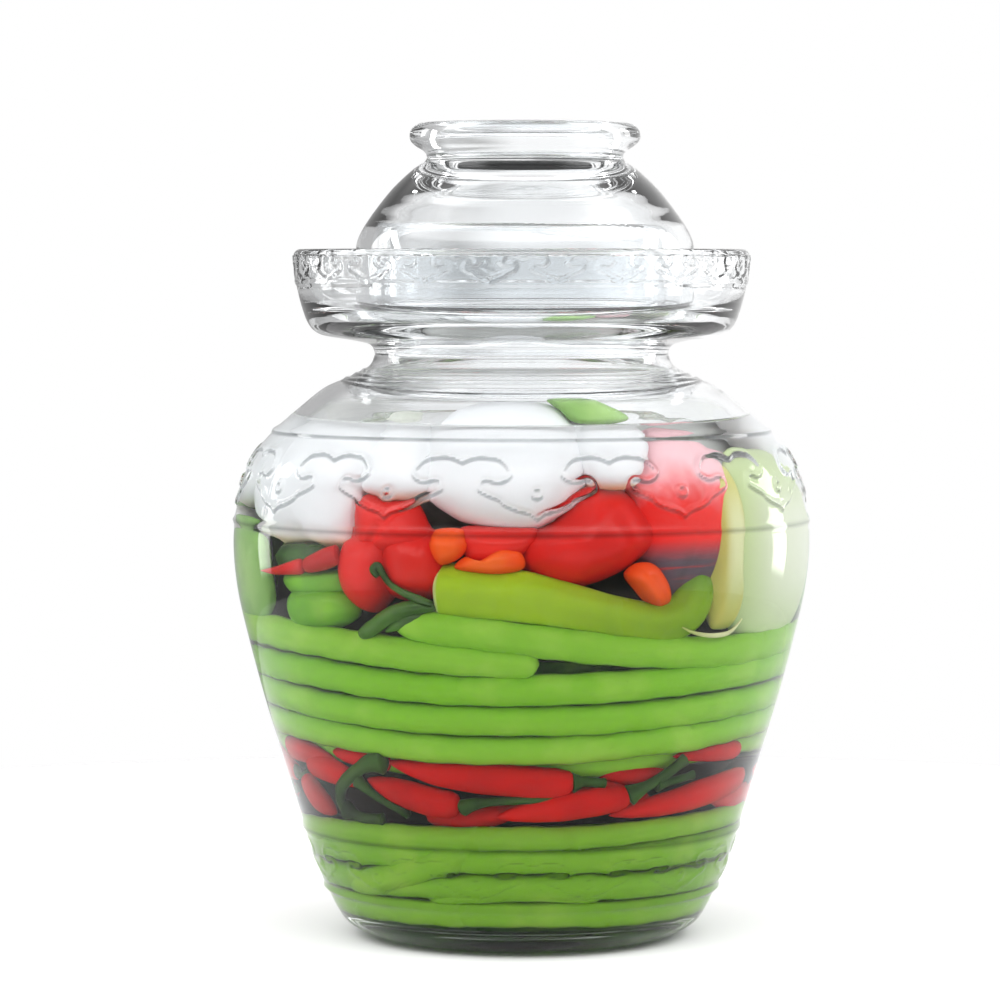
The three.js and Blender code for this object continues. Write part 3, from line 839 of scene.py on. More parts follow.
def rim_arc(centre, height, half_width, steps=10):
    """Rounded top of a wall: half a circle from its outside to its inside."""
    angle = np.linspace(0, np.pi, steps)
    return np.stack([centre + half_width * np.cos(angle), height + half_width * np.sin(angle)], 1)


def body_wall(low, high, spacing):
    """The body's outside with its rings, from one height to another."""
    z = np.linspace(low, high, 400)
    line = resample(np.stack([outer_radius(z), z], 1), spacing)
    line[:, 0] += ring_heights(line[:, 1])
    return line


def inner_wall(z, spacing, reach=0.0):
    """The wall's inside at a run of heights, moved outwards into the glass by a reach."""
    return resample(np.stack([inner_radius(z) + reach, z], 1), spacing)


# Profiles of the jar from the foot up, over the trough and down the inside, as radius and height
FOOT = (
    (0.5, 2.6), (14, 2.6), (27, 2.6), (32.5, 2.2), (35.5, 0.6), (37.6, 0), (40.2, 0.02), (43, 0.55),
    (47.2, 2.1), (50.9, 4.7), (53.2, 8),
)
TROUGH_UNDER = (
    (42, 166.5), (42.5, 168.3), (43.9, 169.5), (49, 170.6), (54.8, 171.5), (57.6, 172.2), (59.7, 173.5),
    (61.3, 175.8), (62.4, 178.6), (63.5, 182.4), (64.3, 186),
)
TROUGH_WALL = ((64.3, 186), (64.8, 190), (65.1, 193), (65.2, 194.7))
TROUGH_RIM = dict(centre=63.2, height=194.5, half_width=2.0)
TROUGH_INSIDE = (
    (61.2, 194.3), (60.9, 190), (60.1, 184.6), (58.3, 180.2), (55.2, 177.3), (51.2, 176.3),
    (47, TROUGH_FLOOR), (43.4, TROUGH_FLOOR), (41.8, 176.9), (41.3, 178.6), (41.3, 188), (41.1, 194),
    (41.5, 198), (41.7, 200.6),
)
MOUTH_RIM = dict(centre=39.4, height=200.6, half_width=2.3)
NECK_INSIDE = ((37.1, 200.4), (37.3, 196), (37.3, 184), (37.4, 175), (37.8, 170))
NECK_FOOT = 166
HEEL_TOP = 13
HEEL_INSIDE = ((51.4, 10.6), (49.2, 8.3), (45.6, 6.9), (40, FLOOR), (24, FLOOR), (0.6, FLOOR))
# Heights between which the body's outside is one block of rings
BLOCKS = dict(
    foot=(8, 15.9), low=(16.5, 29.6), middle=(30.2, 122.4), belly=(122.7, 142.4), shoulder=(143.2, 166.5))
# Shallow ridges round the neck, at its radii named above, and one under the trough's scroll
RIDGE_HEIGHT = 0.45
NECK_RIDGE_HALF_WIDTH = 0.7
TROUGH_RIDGE = 186.9
TROUGH_RIDGE_HALF_WIDTH = 0.6


def jar_surface(sizes):
    """The jar as one turned glass surface: foot, body with its rings and scrolls, trough, mouth and
    inside."""
    foot = np.vstack([smooth(FOOT, 200, 1.6)[:-1], body_wall(*BLOCKS["foot"], 0.9)[1:]])
    low_band = body_wall(*BLOCKS["low"], 0.7)
    middle = body_wall(*BLOCKS["middle"], 1.5)[1:-1]
    belly_band = body_wall(*BLOCKS["belly"], 0.6)
    shoulder = body_wall(*BLOCKS["shoulder"], 0.75)
    ridges = sum(ridge(shoulder[:, 0] - radius, NECK_RIDGE_HALF_WIDTH) for radius in NECK_RIDGES)
    shoulder[:, 1] += RIDGE_HEIGHT * ridges
    upper = np.vstack([shoulder, smooth(TROUGH_UNDER, 300, 1.1)[1:-1]])
    trough_wall = smooth(TROUGH_WALL, 60, 0.6)
    trough_wall[:, 0] += RIDGE_HEIGHT * ridge(trough_wall[:, 1] - TROUGH_RIDGE, TROUGH_RIDGE_HALF_WIDTH)
    trough = np.vstack([
        rim_arc(**TROUGH_RIM), smooth(TROUGH_INSIDE, 400, 1.6)[1:], rim_arc(**MOUTH_RIM)[1:]])
    level = sizes.brine_level / MM
    inside = np.vstack([
        smooth((*NECK_INSIDE, (inner_radius(NECK_FOOT), NECK_FOOT)), 120, 2.6),
        inner_wall(np.linspace(NECK_FOOT, level, 100), 2.2)[1:],
        inner_wall(np.linspace(level, HEEL_TOP, 300), 3)[1:],
        smooth(((inner_radius(HEEL_TOP), HEEL_TOP), *HEEL_INSIDE), 120, 1.8)[1:],
    ])
    low_scroll = scroll_relief(sizes, **LOW_SCROLL)
    belly_scroll = scroll_relief(sizes, **BELLY_SCROLL)
    trough_scroll = scroll_relief(sizes, **TROUGH_SCROLL)
    parts = [
        lathe_rings(foot, GLASS_COLUMNS, waves=0.05),
        lathe_rings(low_band, LOW_SCROLL_COLUMNS, low_scroll, waves=0.05),
        lathe_rings(middle, GLASS_COLUMNS, waves=0.06),
        lathe_rings(belly_band, BELLY_SCROLL_COLUMNS, belly_scroll, waves=0.06),
        lathe_rings(upper, GLASS_COLUMNS, waves=0.05),
        lathe_rings(trough_wall, TROUGH_SCROLL_COLUMNS, trough_scroll, waves=0.04),
        lathe_rings(trough, GLASS_COLUMNS, waves=0.03),
        lathe_rings(inside, INSIDE_COLUMNS, waves=-0.08),
    ]
    shades = [
        0,
        flank(low_band, LOW_SCROLL_COLUMNS, low_scroll),
        ring_flank(middle),
        flank(belly_band, BELLY_SCROLL_COLUMNS, belly_scroll),
        ring_flank(upper),
        flank(trough_wall, TROUGH_SCROLL_COLUMNS, trough_scroll),
        0,
        0,
    ]
    return turned_surface(parts, flank=shades)


# Profiles of the lid, down its inside and over its outside, as radius and height
LID_FOOT = TROUGH_FLOOR + LID_GAP
LID_INSIDE = (
    (0.5, 216.8), (12, 216.7), (20, 216.4), (28, 214.6), (34.6, 210), (39.8, 204.6), (42.9, 200.6),
    (44.3, 196.6), (44.5, 192), (44.5, 182), (44.6, LID_FOOT + 1.2),
)
LID_OUTSIDE = (
    (48.4, LID_FOOT + 2.2), (48.4, 186), (48.3, 196), (47.9, 199), (46.3, 202.4), (42.7, 207.7),
    (37.6, 214), (32, 219.2), (28.9, 221.3), (28.0, 222.6), (28.8, 224.3), (31.2, 225.8), (32.7, 227.3),
    (33, 229), (32.4, 230.8), (31, 232), (29.8, 232.4), (28.4, 231.9), (27.3, 230.2), (26.4, 227.4),
    (25.2, 223.8), (23, 221.7), (19, 221.2), (8, 221.2), (0.5, 221.2),
)
SKIRT_MIDDLE = 46.5
SKIRT_HALF_WIDTH = 1.9


def lid_surface():
    """The lid: its hollow from the crown down, its foot, then the skirt and dome up to the grip ring, and
    the ring's recess."""
    hollow = smooth(LID_INSIDE, 400, 1.2)
    hollow[:, 0] += 0.03 * np.sin(hollow[:, 1] * 1.5) * (hollow[:, 1] > 198)
    foot = rim_arc(SKIRT_MIDDLE, 0, SKIRT_HALF_WIDTH)[::-1] * (1, -1)
    foot = foot + (0, LID_FOOT + SKIRT_HALF_WIDTH)
    profile = np.vstack([hollow, foot, smooth(LID_OUTSIDE, 900, 1.1)])
    keep = np.concatenate([[True], np.linalg.norm(np.diff(profile, axis=0), axis=1) > 0.15])
    return turned_surface([lathe_rings(profile[keep], LID_COLUMNS, offset=LID_OFFSET, waves=0.025)])


# Brine: how far it reaches into the glass, where its side begins, and how deep its top's edge goes
BRINE_REACH = 0.25
BRINE_FOOT = 11
BRINE_EDGE = 1.2


def brine_surface(sizes):
    """Brine that fills the jar and reaches a little into the glass, with a slight rise where it meets the
    wall."""
    level = sizes.brine_level / MM
    flat = level - 0.5
    wall = inner_wall(np.linspace(BRINE_FOOT, flat, 300), 2.4, BRINE_REACH)
    edge = wall[-1, 0]
    low = FLOOR - BRINE_REACH
    heel = (inner_radius(BRINE_FOOT) + BRINE_REACH, BRINE_FOOT)
    base = spline([(0.5, low), (24, low), (40, low), (45.8, 6.7), (49.4, 8.1), heel], 40)
    rise = ((edge - 0.5, level + 0.3), (edge - 1.4, level - 0.2), (edge - 3.5, flat))
    top = spline([*rise, (30, flat), (0.5, flat)], 24)
    return turned_surface([lathe_rings(np.vstack([base[:-1], wall, top]), BRINE_COLUMNS, waves=-0.04)])


# Vegetables


SAG = 4.5


def sag(bearing, amount):
    """Rows of beans dip at the front and rise at the sides, then stay level round the back."""
    facing = np.cos(np.radians(bearing))
    return amount * np.where(facing > 0, np.sin(np.radians(bearing)) ** 2, 1)


def row_bean(start, end, z, thickness, drift, depth, amount, seed):
    """Stations of one bean of a wound row, with a slow wave of its own."""
    t = np.linspace(0, 1, 14)
    bearing = start + (end - start) * t
    height = z + sag(bearing, amount) + drift * (t - 0.5) + 0.5 * ripple(seed, 0.05 * bearing)
    inwards = thickness / 2 + depth + 0.15 + 0.3 * ripple(seed + 9, 0.06 * bearing)
    return np.stack([bearing, height, inwards], 1)


def add_bean(surface, stations, thickness, seed, taper=1.9):
    """One pod along its stations, with its own tint."""
    rng = np.random.default_rng(seed)
    shape = pod_shape(rng.uniform(0.015, 0.045), taper)
    grid, along, crown = tube(
        stations, thickness, shape, steps=110, sides=16, flat=0.95, wobble=0.035, seed=seed)
    surface.add(grid, crown=crown, tint=rng.uniform(0, 1))


def core_grid(low, high, inset, seed, rows=12, columns=64):
    """Block that fills the middle of a heap, uneven on its sides."""
    z = np.linspace(low, high, rows)[:, None]
    bearing = bearings(columns)
    dent = 1.2 * ripple(seed, 0.09 * bearing, 0.35 * z)
    return around(bearing, z, inset + dent)


def wound_rows(surface, rows, seed, turn, lift, spans, drifts):
    """Rows of beans round the wall: two layers each, and two beans a layer that lap end to end. Lift is how
    far the second layer lies above the first, in thicknesses, and turn how far it starts round from it."""
    for i, (z, thickness, start, amount) in enumerate(rows):
        for layer in (0, 1):
            first = start + layer * turn
            height = z + layer * lift * thickness
            depth = layer * thickness * 0.82
            for k, (a, b) in enumerate(spans):
                number = seed + i * 10 + layer * 4 + k
                stations = row_bean(
                    first + a, first + b, height, thickness, drifts[k], depth, amount, number)
                add_bean(surface, stations, thickness, number)


def loose_beans(surface, beans, seed, amount):
    """Single beans that sag by an amount."""
    for number, (a, b, z, thickness, drift, depth) in enumerate(beans, seed):
        stations = row_bean(a, b, z, thickness, drift, depth, amount, number)
        add_bean(surface, stations, thickness, number)


# Rows of beans from the floor up: height, thickness, bearing that the first one starts from, and sag
LOWER_ROWS = ((12.8, 8.0, 150, 0.5), (21, 7.8, 60, 0.6), (28.6, 7.8, 170, 0.8))
UPPER_ROWS = ((60.4, 8.4, 200, SAG), (68.5, 8.7, 75, SAG), (77.0, 9.0, 150, SAG))
# Single beans: bearings from and to, height, thickness, how much they rise, and how far in they lie
LOWER_LOOSE = (
    (-118, 98, 35.0, 7.2, 4.6, 0), (90, 246, 36.2, 7.0, -3.0, 0), (-100, 60, 34.6, 7.0, 2.4, 6.5),
    (50, 270, 35.2, 7.0, -2.0, 6.8),
)
UPPER_LOOSE = (
    (94, 196, 84.4, 8.6, 2, 0), (184, 268, 85, 8.4, -2, 0), (-96, -4, 85.4, 8, 0, 8.2),
    (30, 120, 84, 8, 2, 8.6),
)
# Beans that cross the rows in front: stations of bearing, height and depth
LOWER_CROSSING = ((-63, 19.6, 3.6), (-52, 20.6, 3.2), (-38, 23.6, 2.9), (-25, 27.6, 2.9), (-12, 31.4, 4.0))
LOWER_SHORT = ((-30, 17.2, 4.4), (-16, 19.4, 4), (4, 20.4, 4), (26, 18.6, 4.6))
UPPER_LEFT = (
    (-118, 90.5, 5), (-92, 91.4, 4.8), (-66, 90.6, 4.6), (-40, 88.4, 4.5), (-18, 86.2, 4.6),
    (3.6, 84.6, 5.4),
)
UPPER_RIGHT = (
    (-28.5, 95.3, 5.4), (-14, 93.6, 4.8), (4, 90.8, 4.6), (24, 88, 4.6), (44, 86.4, 4.6), (66, 87, 4.6),
    (98, 89, 5),
)


def lower_beans():
    """The heap of beans at the bottom."""
    surface = Surface()
    # A dark core sheet of painted shade fills the middle of the heap
    surface.add(core_grid(FLOOR + 0.8, 34, 11, seed=2), crown=-1.0, tint=0.0)
    wound_rows(surface, LOWER_ROWS, 100, 60, 0.5, ((0, 198), (186, 372)), (0.8, -0.9))
    loose_beans(surface, LOWER_LOOSE, 140, 0.5)
    add_bean(surface, LOWER_CROSSING, 8.4, 151, taper=2.6)
    add_bean(surface, LOWER_SHORT, 6.4, 152)
    return surface


def upper_beans():
    """The heap of beans over the chillies."""
    surface = Surface()
    # A dark core sheet of painted shade fills the middle of the heap
    surface.add(core_grid(57, 85, 11, seed=4), crown=-1.0, tint=0.0)
    wound_rows(surface, UPPER_ROWS, 200, 70, -0.5, ((0, 206), (192, 372)), (0.7, -0.7))
    add_bean(surface, UPPER_LEFT, 9.4, 231, taper=1.1)
    add_bean(surface, UPPER_RIGHT, 9.4, 232, taper=2.6)
    loose_beans(surface, UPPER_LOOSE, 240, SAG)
    return surface


# Chillies: stations from the stalk end to the tip, then the thickness
CHILLIES = (
    (((13.4, 51.2, 4.8), (4, 51.6, 4.7), (-10, 52.4, 4.7), (-24, 54, 4.8), (-36, 56.4, 5.4)), 9.4),
    (((-16.6, 44.5, 4.6), (-24, 45.4, 4.4), (-34, 47.8, 4.6), (-44, 50.8, 5.4)), 8.8),
    (((29, 46.6, 4.8), (18, 45.4, 4.5), (4, 43.4, 4.6), (-7, 41.4, 5.2)), 8.6),
    (((76, 49, 4.8), (58, 46.4, 4.6), (40, 43.8, 4.6), (24, 41.4, 5.2)), 8.6),
    (((42, 51.4, 9), (32, 52.6, 9), (20, 53.6, 9.6)), 6.4),
    (((68, 57.6, 5.6), (54, 57.8, 5), (41, 57.4, 5.8)), 6),
    (((-67, 53.4, 5.2), (-57, 52.2, 4.8), (-46, 49, 6)), 8.2),
    (((-73, 49, 4.8), (-69, 44, 4.8), (-61, 39.6, 6)), 8.6),
    (((-80, 57.4, 5.6), (-68, 57, 5), (-55, 55.2, 6.6)), 7.6),
    (((-36, 55.8, 7), (-46, 57.2, 6.6), (-56, 58, 7)), 6.6),
    (((-28, 42.4, 9), (-14, 41.4, 9), (2, 44.4, 9.4)), 8),
    (((38, 43.4, 9), (20, 48.4, 9), (4, 47.4, 9.4)), 8),
    (((84, 44, 5), (74, 43, 5), (62, 42.6, 6)), 7.4),
)
# Green stalks: stations from the cap outwards, then the thickness
STALKS = (
    (((12.6, 51.2, 4.6), (17, 51.4, 4.4), (21.5, 50.6, 5.4)), 4.2),
    (((-17, 43.6, 4.6), (-11, 45.4, 3.6), (0, 46.4, 3.4), (9.5, 46.4, 4.2)), 3.4),
    (((28.2, 46.6, 4.6), (32, 48.6, 3.8), (38, 52, 3.4), (44.5, 56.6, 3.8)), 4.6),
    (((36, 49.6, 3.8), (42, 50.4, 3.6), (49, 51.6, 4.4)), 3.4),
    (((-35, 56.2, 3.2), (-40, 55.6, 2.6), (-47, 51.8, 2.6), (-53, 47.4, 2.8), (-54.6, 43, 3),
        (-52, 39.4, 4)), 5.2),
    (((-46.4, 50.4, 2.6), (-42, 47, 2.2), (-37.4, 44.4, 2.4), (-31, 41, 3.4)), 3.2),
    (((-54, 41.4, 3.6), (-48, 39.4, 3.4), (-40, 39.4, 4)), 4.4),
)


def back_chillies(rng):
    """Chillies and stalks round the back: a bearing each, in three heights, with a drawn tilt."""
    for k, bearing in enumerate(np.linspace(92, 264, 15)):
        z = (42.6, 48.4, 54.2)[k % 3]
        tilt = rng.uniform(-4, 4)
        depth = 4.9 if k % 2 else 5.4
        body = (
            (bearing + 17, z + tilt, depth), (bearing, z, depth - 0.3), (bearing - 17, z - tilt, depth + 1))
        stalk = (
            (bearing + 16.6, z + tilt, depth), (bearing + 21, z + tilt * 1.3, depth - 0.6),
            (bearing + 25, z + tilt, depth))
        yield (body, rng.uniform(8, 9.6)), (stalk, 3.4)


def chilli_layer():
    """Chillies and stalks as two surfaces. Round the back they go on by a seeded draw."""
    red = Surface()
    green = Surface()
    # A dark core sheet of painted shadow fills the gaps between the chillies
    red.add(core_grid(38.4, 56, 14, seed=6), tint=0.0, rim=3.0)
    rng = np.random.default_rng(77)
    bodies, stems = zip(*back_chillies(rng))
    for k, (stations, thickness) in enumerate((*CHILLIES, *bodies)):
        grid, along, crown = tube(
            stations, thickness, chilli_shape, steps=60, sides=20, wobble=0.05, seed=300 + k)
        # Painted shade: chillies lying deeper in, and their sides away from the glass, go darker
        sunk = (np.mean([depth for _, _, depth in stations]) - 5.6) / 2
        red.add(grid, tint=rng.uniform(0, 1), rim=np.clip(sunk, 0, 1) + 1 - np.clip(crown + 0.8, 0, 1))
    for k, (stations, thickness) in enumerate((*STALKS, *stems)):
        grid, along, crown = tube(
            stations, thickness, stalk_shape, steps=40, sides=12, wobble=0.05, seed=400 + k)
        green.add(grid, tint=rng.uniform(0, 1), rim=0.0)
    return red, green


# Larger vegetables


def blunt_oval(count, swell, phase):
    """Sideways and upward places round an oval with blunt corners and three faint lobes."""
    angle = TURN * np.arange(count) / count
    wave = 1 + swell * np.sin(3 * angle + phase)
    return [np.sign(part) * np.abs(part) ** 0.8 * wave for part in (np.cos(angle), np.sin(angle))]


def oval(name):
    """Outline as wide and high as a CAD piece that lies at the wall, and the piece's depth."""
    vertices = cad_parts[name].data.vertices
    points = np.empty(len(vertices) * 3)
    vertices.foreach_get("co", points)
    x, y, z = points.reshape(-1, 3).T / MM
    bearing = math.atan2(x.mean(), -y.mean())
    turned = np.arctan2(x, -y) - bearing
    turned = np.degrees(bearing + (turned + math.pi) % TURN - math.pi)
    middle = (turned.max() + turned.min()) / 2
    across, up = blunt_oval(12, 0.06, middle)
    bearing = middle + np.ptp(turned) / 2 * across
    height = (z.max() + z.min()) / 2 + np.ptp(z) / 2 * up
    return np.stack([bearing, height], 1), np.ptp(np.hypot(x, y))


def vegetables():
    """Every larger piece: CAD node, finish, tint and the shapes that it is made of."""
    return (
        ("white_radish_left", "radish", 0.9,
         pillow((
            (-66, 115.6), (-58, 113.2), (-51, 115), (-45, 113.4), (-39.6, 114.8), (-38, 120), (-37.5, 128),
            (-35.5, 134), (-37, 141), (-46, 146), (-60, 146), (-72, 143), (-79, 136), (-80, 126),
            (-74, 118.8)), 30, seed=21)),
        ("white_radish_big", "radish", 0.0,
         pillow((
            (-27, 145), (-25, 136.5), (-23.4, 127.5), (-17, 122.4), (-12, 120), (-5, 118.2), (2, 118),
            (6.5, 120.6), (10.5, 124.6), (14.5, 129.6), (16.6, 134), (17.4, 140), (17.4, 146), (14, 151.4),
            (5, 154.4), (-6, 155), (-17, 153.6), (-24.6, 150)), 42, lumps=0.015, seed=22)),
        ("white_radish_right", "radish", 1.0,
         pillow((
            (13.4, 146), (12.6, 138), (15.4, 131), (22.5, 129.4), (26.6, 131.6), (29.8, 136.4),
            (32.6, 141.4), (30, 146.6), (24, 148)), 26, inset=0.8, lumps=0.02, seed=23)),
        ("white_radish_small", "radish", 0.6,
         pillow((
            (-39, 137), (-38.4, 129.4), (-33, 127.2), (-26, 126.6), (-20.6, 129), (-20.6, 137), (-24, 144),
            (-33, 147), (-37.6, 144)), 24, inset=1.6, lumps=0.02, seed=24)),
        ("lantern_pepper", "pepper", 0.85,
         pillow((
            (-42.4, 110), (-41.6, 103), (-38.5, 98.8), (-34.4, 97.6), (-31.2, 100), (-28.6, 104),
            (-27.6, 110), (-28.6, 116), (-31.4, 119.6), (-36.4, 120.2), (-40.6, 117)),
            20, inset=0.3, crown=1.3, seed=31),
         pillow((
            (-31.6, 110), (-30, 103.4), (-26, 101.4), (-20.4, 102), (-16.8, 104.6), (-16.2, 110),
            (-18, 116.4), (-21.6, 120), (-27, 120.4), (-30.6, 117)), 17, inset=0.9, crown=1.3, seed=32),
         pillow((
            (-38.4, 120), (-38.6, 126), (-35.6, 128.4), (-30, 127.2), (-24.6, 127), (-21, 121.6),
            (-20, 116.4), (-24, 113.4), (-31, 113), (-37, 115)),
            16, inset=1.3, crown=1.2, seed=33, folds=((-30, 0.6, 1.3, 1.4),))),
        ("orange_pepper_left", "orange", 0.7,
         pillow((
            (-19.6, 116), (-18.4, 119.4), (-13.4, 119.8), (-11.6, 116.6), (-13, 113), (-17.4, 111)),
            9, inset=1.4, crown=1.2, seed=34)),
        ("orange_pepper_middle", "orange", 0.4,
         pillow((
            (-14, 110), (-12, 113.2), (-9, 112.4), (-4.6, 115.2), (-0.6, 114.4), (0, 110.4), (-6, 108.6)),
            9, inset=1.6, crown=1.2, seed=35)),
        ("red_slice_middle", "pepper", 0.1,
         pillow((
            (-13.5, 119.6), (-6, 120.4), (3, 119.4), (0, 113.6), (-8, 111.6), (-12.6, 113)),
            12, inset=4.4, seed=36)),
        ("lime_pepper", "lime", 0.5,
         limb((
            (-18.4, 104.6, 7.4), (-8, 103.8, 7), (2, 102.4, 6.4), (12, 99.8, 6), (22, 96.8, 6),
            (31, 95.2, 6), (36.6, 97.6, 6.2), (39.2, 102.8, 6.6), (39.4, 109, 7.4)),
            (0, 4.6), (0.012, 6.4), (0.05, 6.9), (0.25, 6.6), (0.42, 5.8), (0.6, 5.2), (0.75, 5.2),
            (0.88, 5.8), (0.95, 5), (0.985, 3), (1, 0.4), steps=120, sides=40, wobble=0.03, ridges=4,
            flat=0.92, seed=37)),
        ("orange_pepper_right", "orange", 0.5,
         pillow((
            (21.6, 108.6), (24.4, 111.4), (28.6, 110.8), (31.8, 106), (33, 101.4), (31, 99.2),
            (27.4, 100.6), (24, 104.4)),
            11, inset=1.2, crown=1.4, seed=38, folds=((28, -0.6, 1.2, 0.8),))),
        ("red_pepper_big", "pepper", 1.0,
         pillow((
            (4.6, 119.6), (9, 123.4), (13, 128.4), (17, 131), (22.4, 130.4), (26.6, 127.2), (30, 123.4),
            (31.8, 119), (30.4, 114.6), (26, 110.8), (21, 107.8), (15.4, 105.6), (9.4, 104.4), (4, 106),
            (-0.6, 109.6), (-1.8, 114), (-0.6, 118)),
            26, inset=0.5, crown=1.5, lumps=0.02, seed=39, rows=60, columns=128,
            folds=((23.4, -0.4, 2.2, 0.9),))),
        ("red_pepper_side", "side_pepper", 0.5,
         pillow((
            (29.6, 134), (33.4, 139.6), (37.5, 142.6), (43, 141.6), (50, 138.4), (53, 133), (51, 124),
            (49, 112), (44, 104), (34, 101), (27, 108), (26, 118), (26, 130)),
            20, inset=2.2, lumps=0.03, seed=40, folds=((40, 0.3, 1.6, 1.2),))),
        ("pale_slice_front", "pale_front", 1.0,
         pillow((
            (51.5, 134), (53, 126), (51.5, 115), (51.6, 104), (52.4, 96), (50, 92.6), (45, 92.8),
            (43.4, 98), (42.4, 106), (43.2, 116), (44.4, 125), (47, 131.6)),
            12, inset=0.3, crown=1.3, seed=41),
         limb((
            (34.6, 93.8, 1.2), (38, 92, 0.9), (43, 91, 0.8), (48, 91.6, 0.9), (51.6, 95, 1.4)),
            (0, 0.2), (0.3, 0.6), (0.7, 0.7), (1, 0.2), steps=40, sides=10)),
        ("pale_slice_side", "pale_side", 0.25,
         pillow((
            (52.6, 133), (58, 135.6), (67, 135.6), (78, 133.4), (87, 127), (91, 117), (89, 104), (84, 95),
            (76, 89), (66, 87), (57, 88.8), (51.8, 95), (50, 105), (50, 116), (51.2, 128)),
            15, inset=0.6, crown=0.9, seed=42)),
        ("green_slice_top", "leaf_pale", 0.9,
         pillow((
            (8.4, 154.4), (12, 155.6), (21, 155), (26, 152.4), (31, 148.4), (24, 147), (15, 147.4),
            (11, 151)), 12, inset=0.8, seed=43)),
        ("green_piece_left", "leaf", 0.7,
         pillow((
            (-60, 97), (-58.6, 101.4), (-54, 103.6), (-46, 104.2), (-39.4, 102.4), (-38, 97.8),
            (-42, 94.4), (-50, 92), (-57.4, 92.4)), 15, inset=0.6, crown=1.2, seed=44),
         pillow((
            (-60.6, 105), (-57, 108), (-49, 108.6), (-41, 108.4), (-40, 104), (-46, 101), (-56, 101)),
            12, inset=2, crown=1.2, seed=45)),
        ("green_leaf_left", "leaf_dark", 0.3,
         pillow((
            (-62, 111), (-59, 114.6), (-53, 115), (-46, 114.6), (-43, 110.4), (-48, 107.4), (-57, 107)),
            8, inset=2.6, lumps=0.12, seed=46)),
        ("green_leaf_side", "leaf_pale", 0.4,
         pillow((
            (-64.5, 108), (-66, 115), (-72, 118), (-82, 118.4), (-91, 116), (-93, 105), (-90, 95),
            (-80, 92.4), (-71, 93), (-65, 99)), 9, inset=0.8, seed=47)),
        ("thin_chilli", "chilli", 0.9,
         limb((
            (-66, 107, 1.8), (-60, 107.4, 1.9), (-54.6, 108.4, 2), (-50, 109.4, 2.4)),
            (0, 0.1), (0.3, 0.9), (0.7, 1.7), (0.95, 2.1), (1, 0.8), steps=50, sides=18),
         limb((
            (-49.6, 109.4, 2.4), (-46, 110.6, 2.4), (-40.6, 113, 3.4)),
            (0, 0.8), (0.1, 2.1), (0.6, 2.8), (1, 2.6), steps=40, sides=18)),
        ("green_sprig", "sprig", 0.5,
         limb((
            (-35.6, 91.6, 2.4), (-32, 94.4, 2.2), (-28, 97.6, 2.2), (-23.4, 99.6, 2.8), (-18, 99.8, 4)),
            (0, 1.6), (0.1, 2.1), (0.5, 2.2), (0.8, 1.9), (1, 0.6), steps=60, sides=20, ridges=3),
         limb((
            (-30, 93, 4), (-25, 96, 3.4), (-19.6, 97.8, 4.2)),
            (0, 0.4), (0.3, 1.7), (0.7, 1.9), (1, 0.4), steps=40, sides=16)),
        ("lantern_stalk", "sprig", 0.0,
         limb((
            (-30, 107.6, 1.5), (-31, 109.6, 1.3), (-29.8, 110.6, 1.2), (-28.8, 108.6, 1.1),
            (-27, 105.6, 1.1), (-23.4, 103, 1.4), (-18.6, 100.6, 2.6)),
            (0, 0.7), (0.1, 1.1), (0.5, 0.9), (0.85, 1.2), (1, 0.8), steps=70, sides=12)),
    )


# Finish and tint of each kind of piece round the back, and the material slot of each finish
BACK_FINISH = {
    "radish": ("radish", 0.5), "pepper": ("pepper", 0.6), "green": ("leaf", 0.4),
    "pale": ("pale_back", 0.1),
}
SLOTS = {
    "radish": "radish_white", "pepper": "pepper_red", "side_pepper": "pepper_red",
    "orange": "pepper_orange", "lime": "pepper_lime", "pale_front": "pale_green",
    "pale_side": "pale_green", "pale_back": "pale_green", "leaf": "leaf_green", "leaf_pale": "leaf_green",
    "leaf_dark": "leaf_green", "sprig": "leaf_green", "chilli": "chilli_red",
}


def back_vegetables():
    """The pieces round the back, each as large as its CAD node."""
    names = [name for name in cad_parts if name.startswith("back_")]
    for step, name in enumerate(sorted(names)):
        finish, tint = BACK_FINISH[name.split("_")[1]]
        outline, depth = oval(name)
        yield name, finish, tint, pillow(outline, depth, inset=0.4, crown=1.1, lumps=0.05, seed=60 + step)


def deep_vegetables():
    """Pieces further in that close the gaps round the back, white ones on top: a finish and a shape
    each."""
    rng = np.random.default_rng(91)
    kinds = ("radish", "radish", "leaf", "pale_back", "radish", "pepper", "leaf_pale", "radish", "orange")
    places = [(bearing, z) for z in (97, 110, 122, 134) for bearing in np.arange(110, 245, 19)]
    for step, (bearing, z) in enumerate(places):
        middle = bearing + rng.uniform(-6, 6), z + rng.uniform(-3, 3)
        half = rng.uniform(12, 16), rng.uniform(7.5, 10)
        lean = rng.uniform(-0.25, 0.25)
        across, up = blunt_oval(10, 0.08, step)
        outline = np.stack([middle[0] + half[0] * across, middle[1] + half[1] * (up + lean * across)], 1)
        kind = "radish" if z > 130 else kinds[step * 4 % len(kinds)]
        inset = rng.uniform(5, 9)
        yield kind, pillow(
            outline, 16, inset, crown=1.2, lumps=0.06, seed=500 + step, rows=18, columns=36)


# The core's outside as height and radius, and the height over which its finish changes
CORE = (
    (86, 40), (90, 52), (97, 54), (104, 51), (112, 49), (120, 49), (128, 47), (135, 40), (140, 30),
    (141.5, 12),
)
CORE_RISE = 55


def inner_core():
    """Uneven core behind the pieces, with its rise from bottom to top for the finish."""
    z, reach = np.array(CORE, float).T[:, :, None]
    bearing = bearings(72)
    angle = np.radians(bearing)
    uneven = reach * (1 + 0.05 * ripple(5, 4 * np.sin(angle), 4 * np.cos(angle), z / 9))
    surface = Surface()
    surface.add(polar(bearing, uneven, z), rise=(z - CORE[0][0]) / CORE_RISE)
    return surface


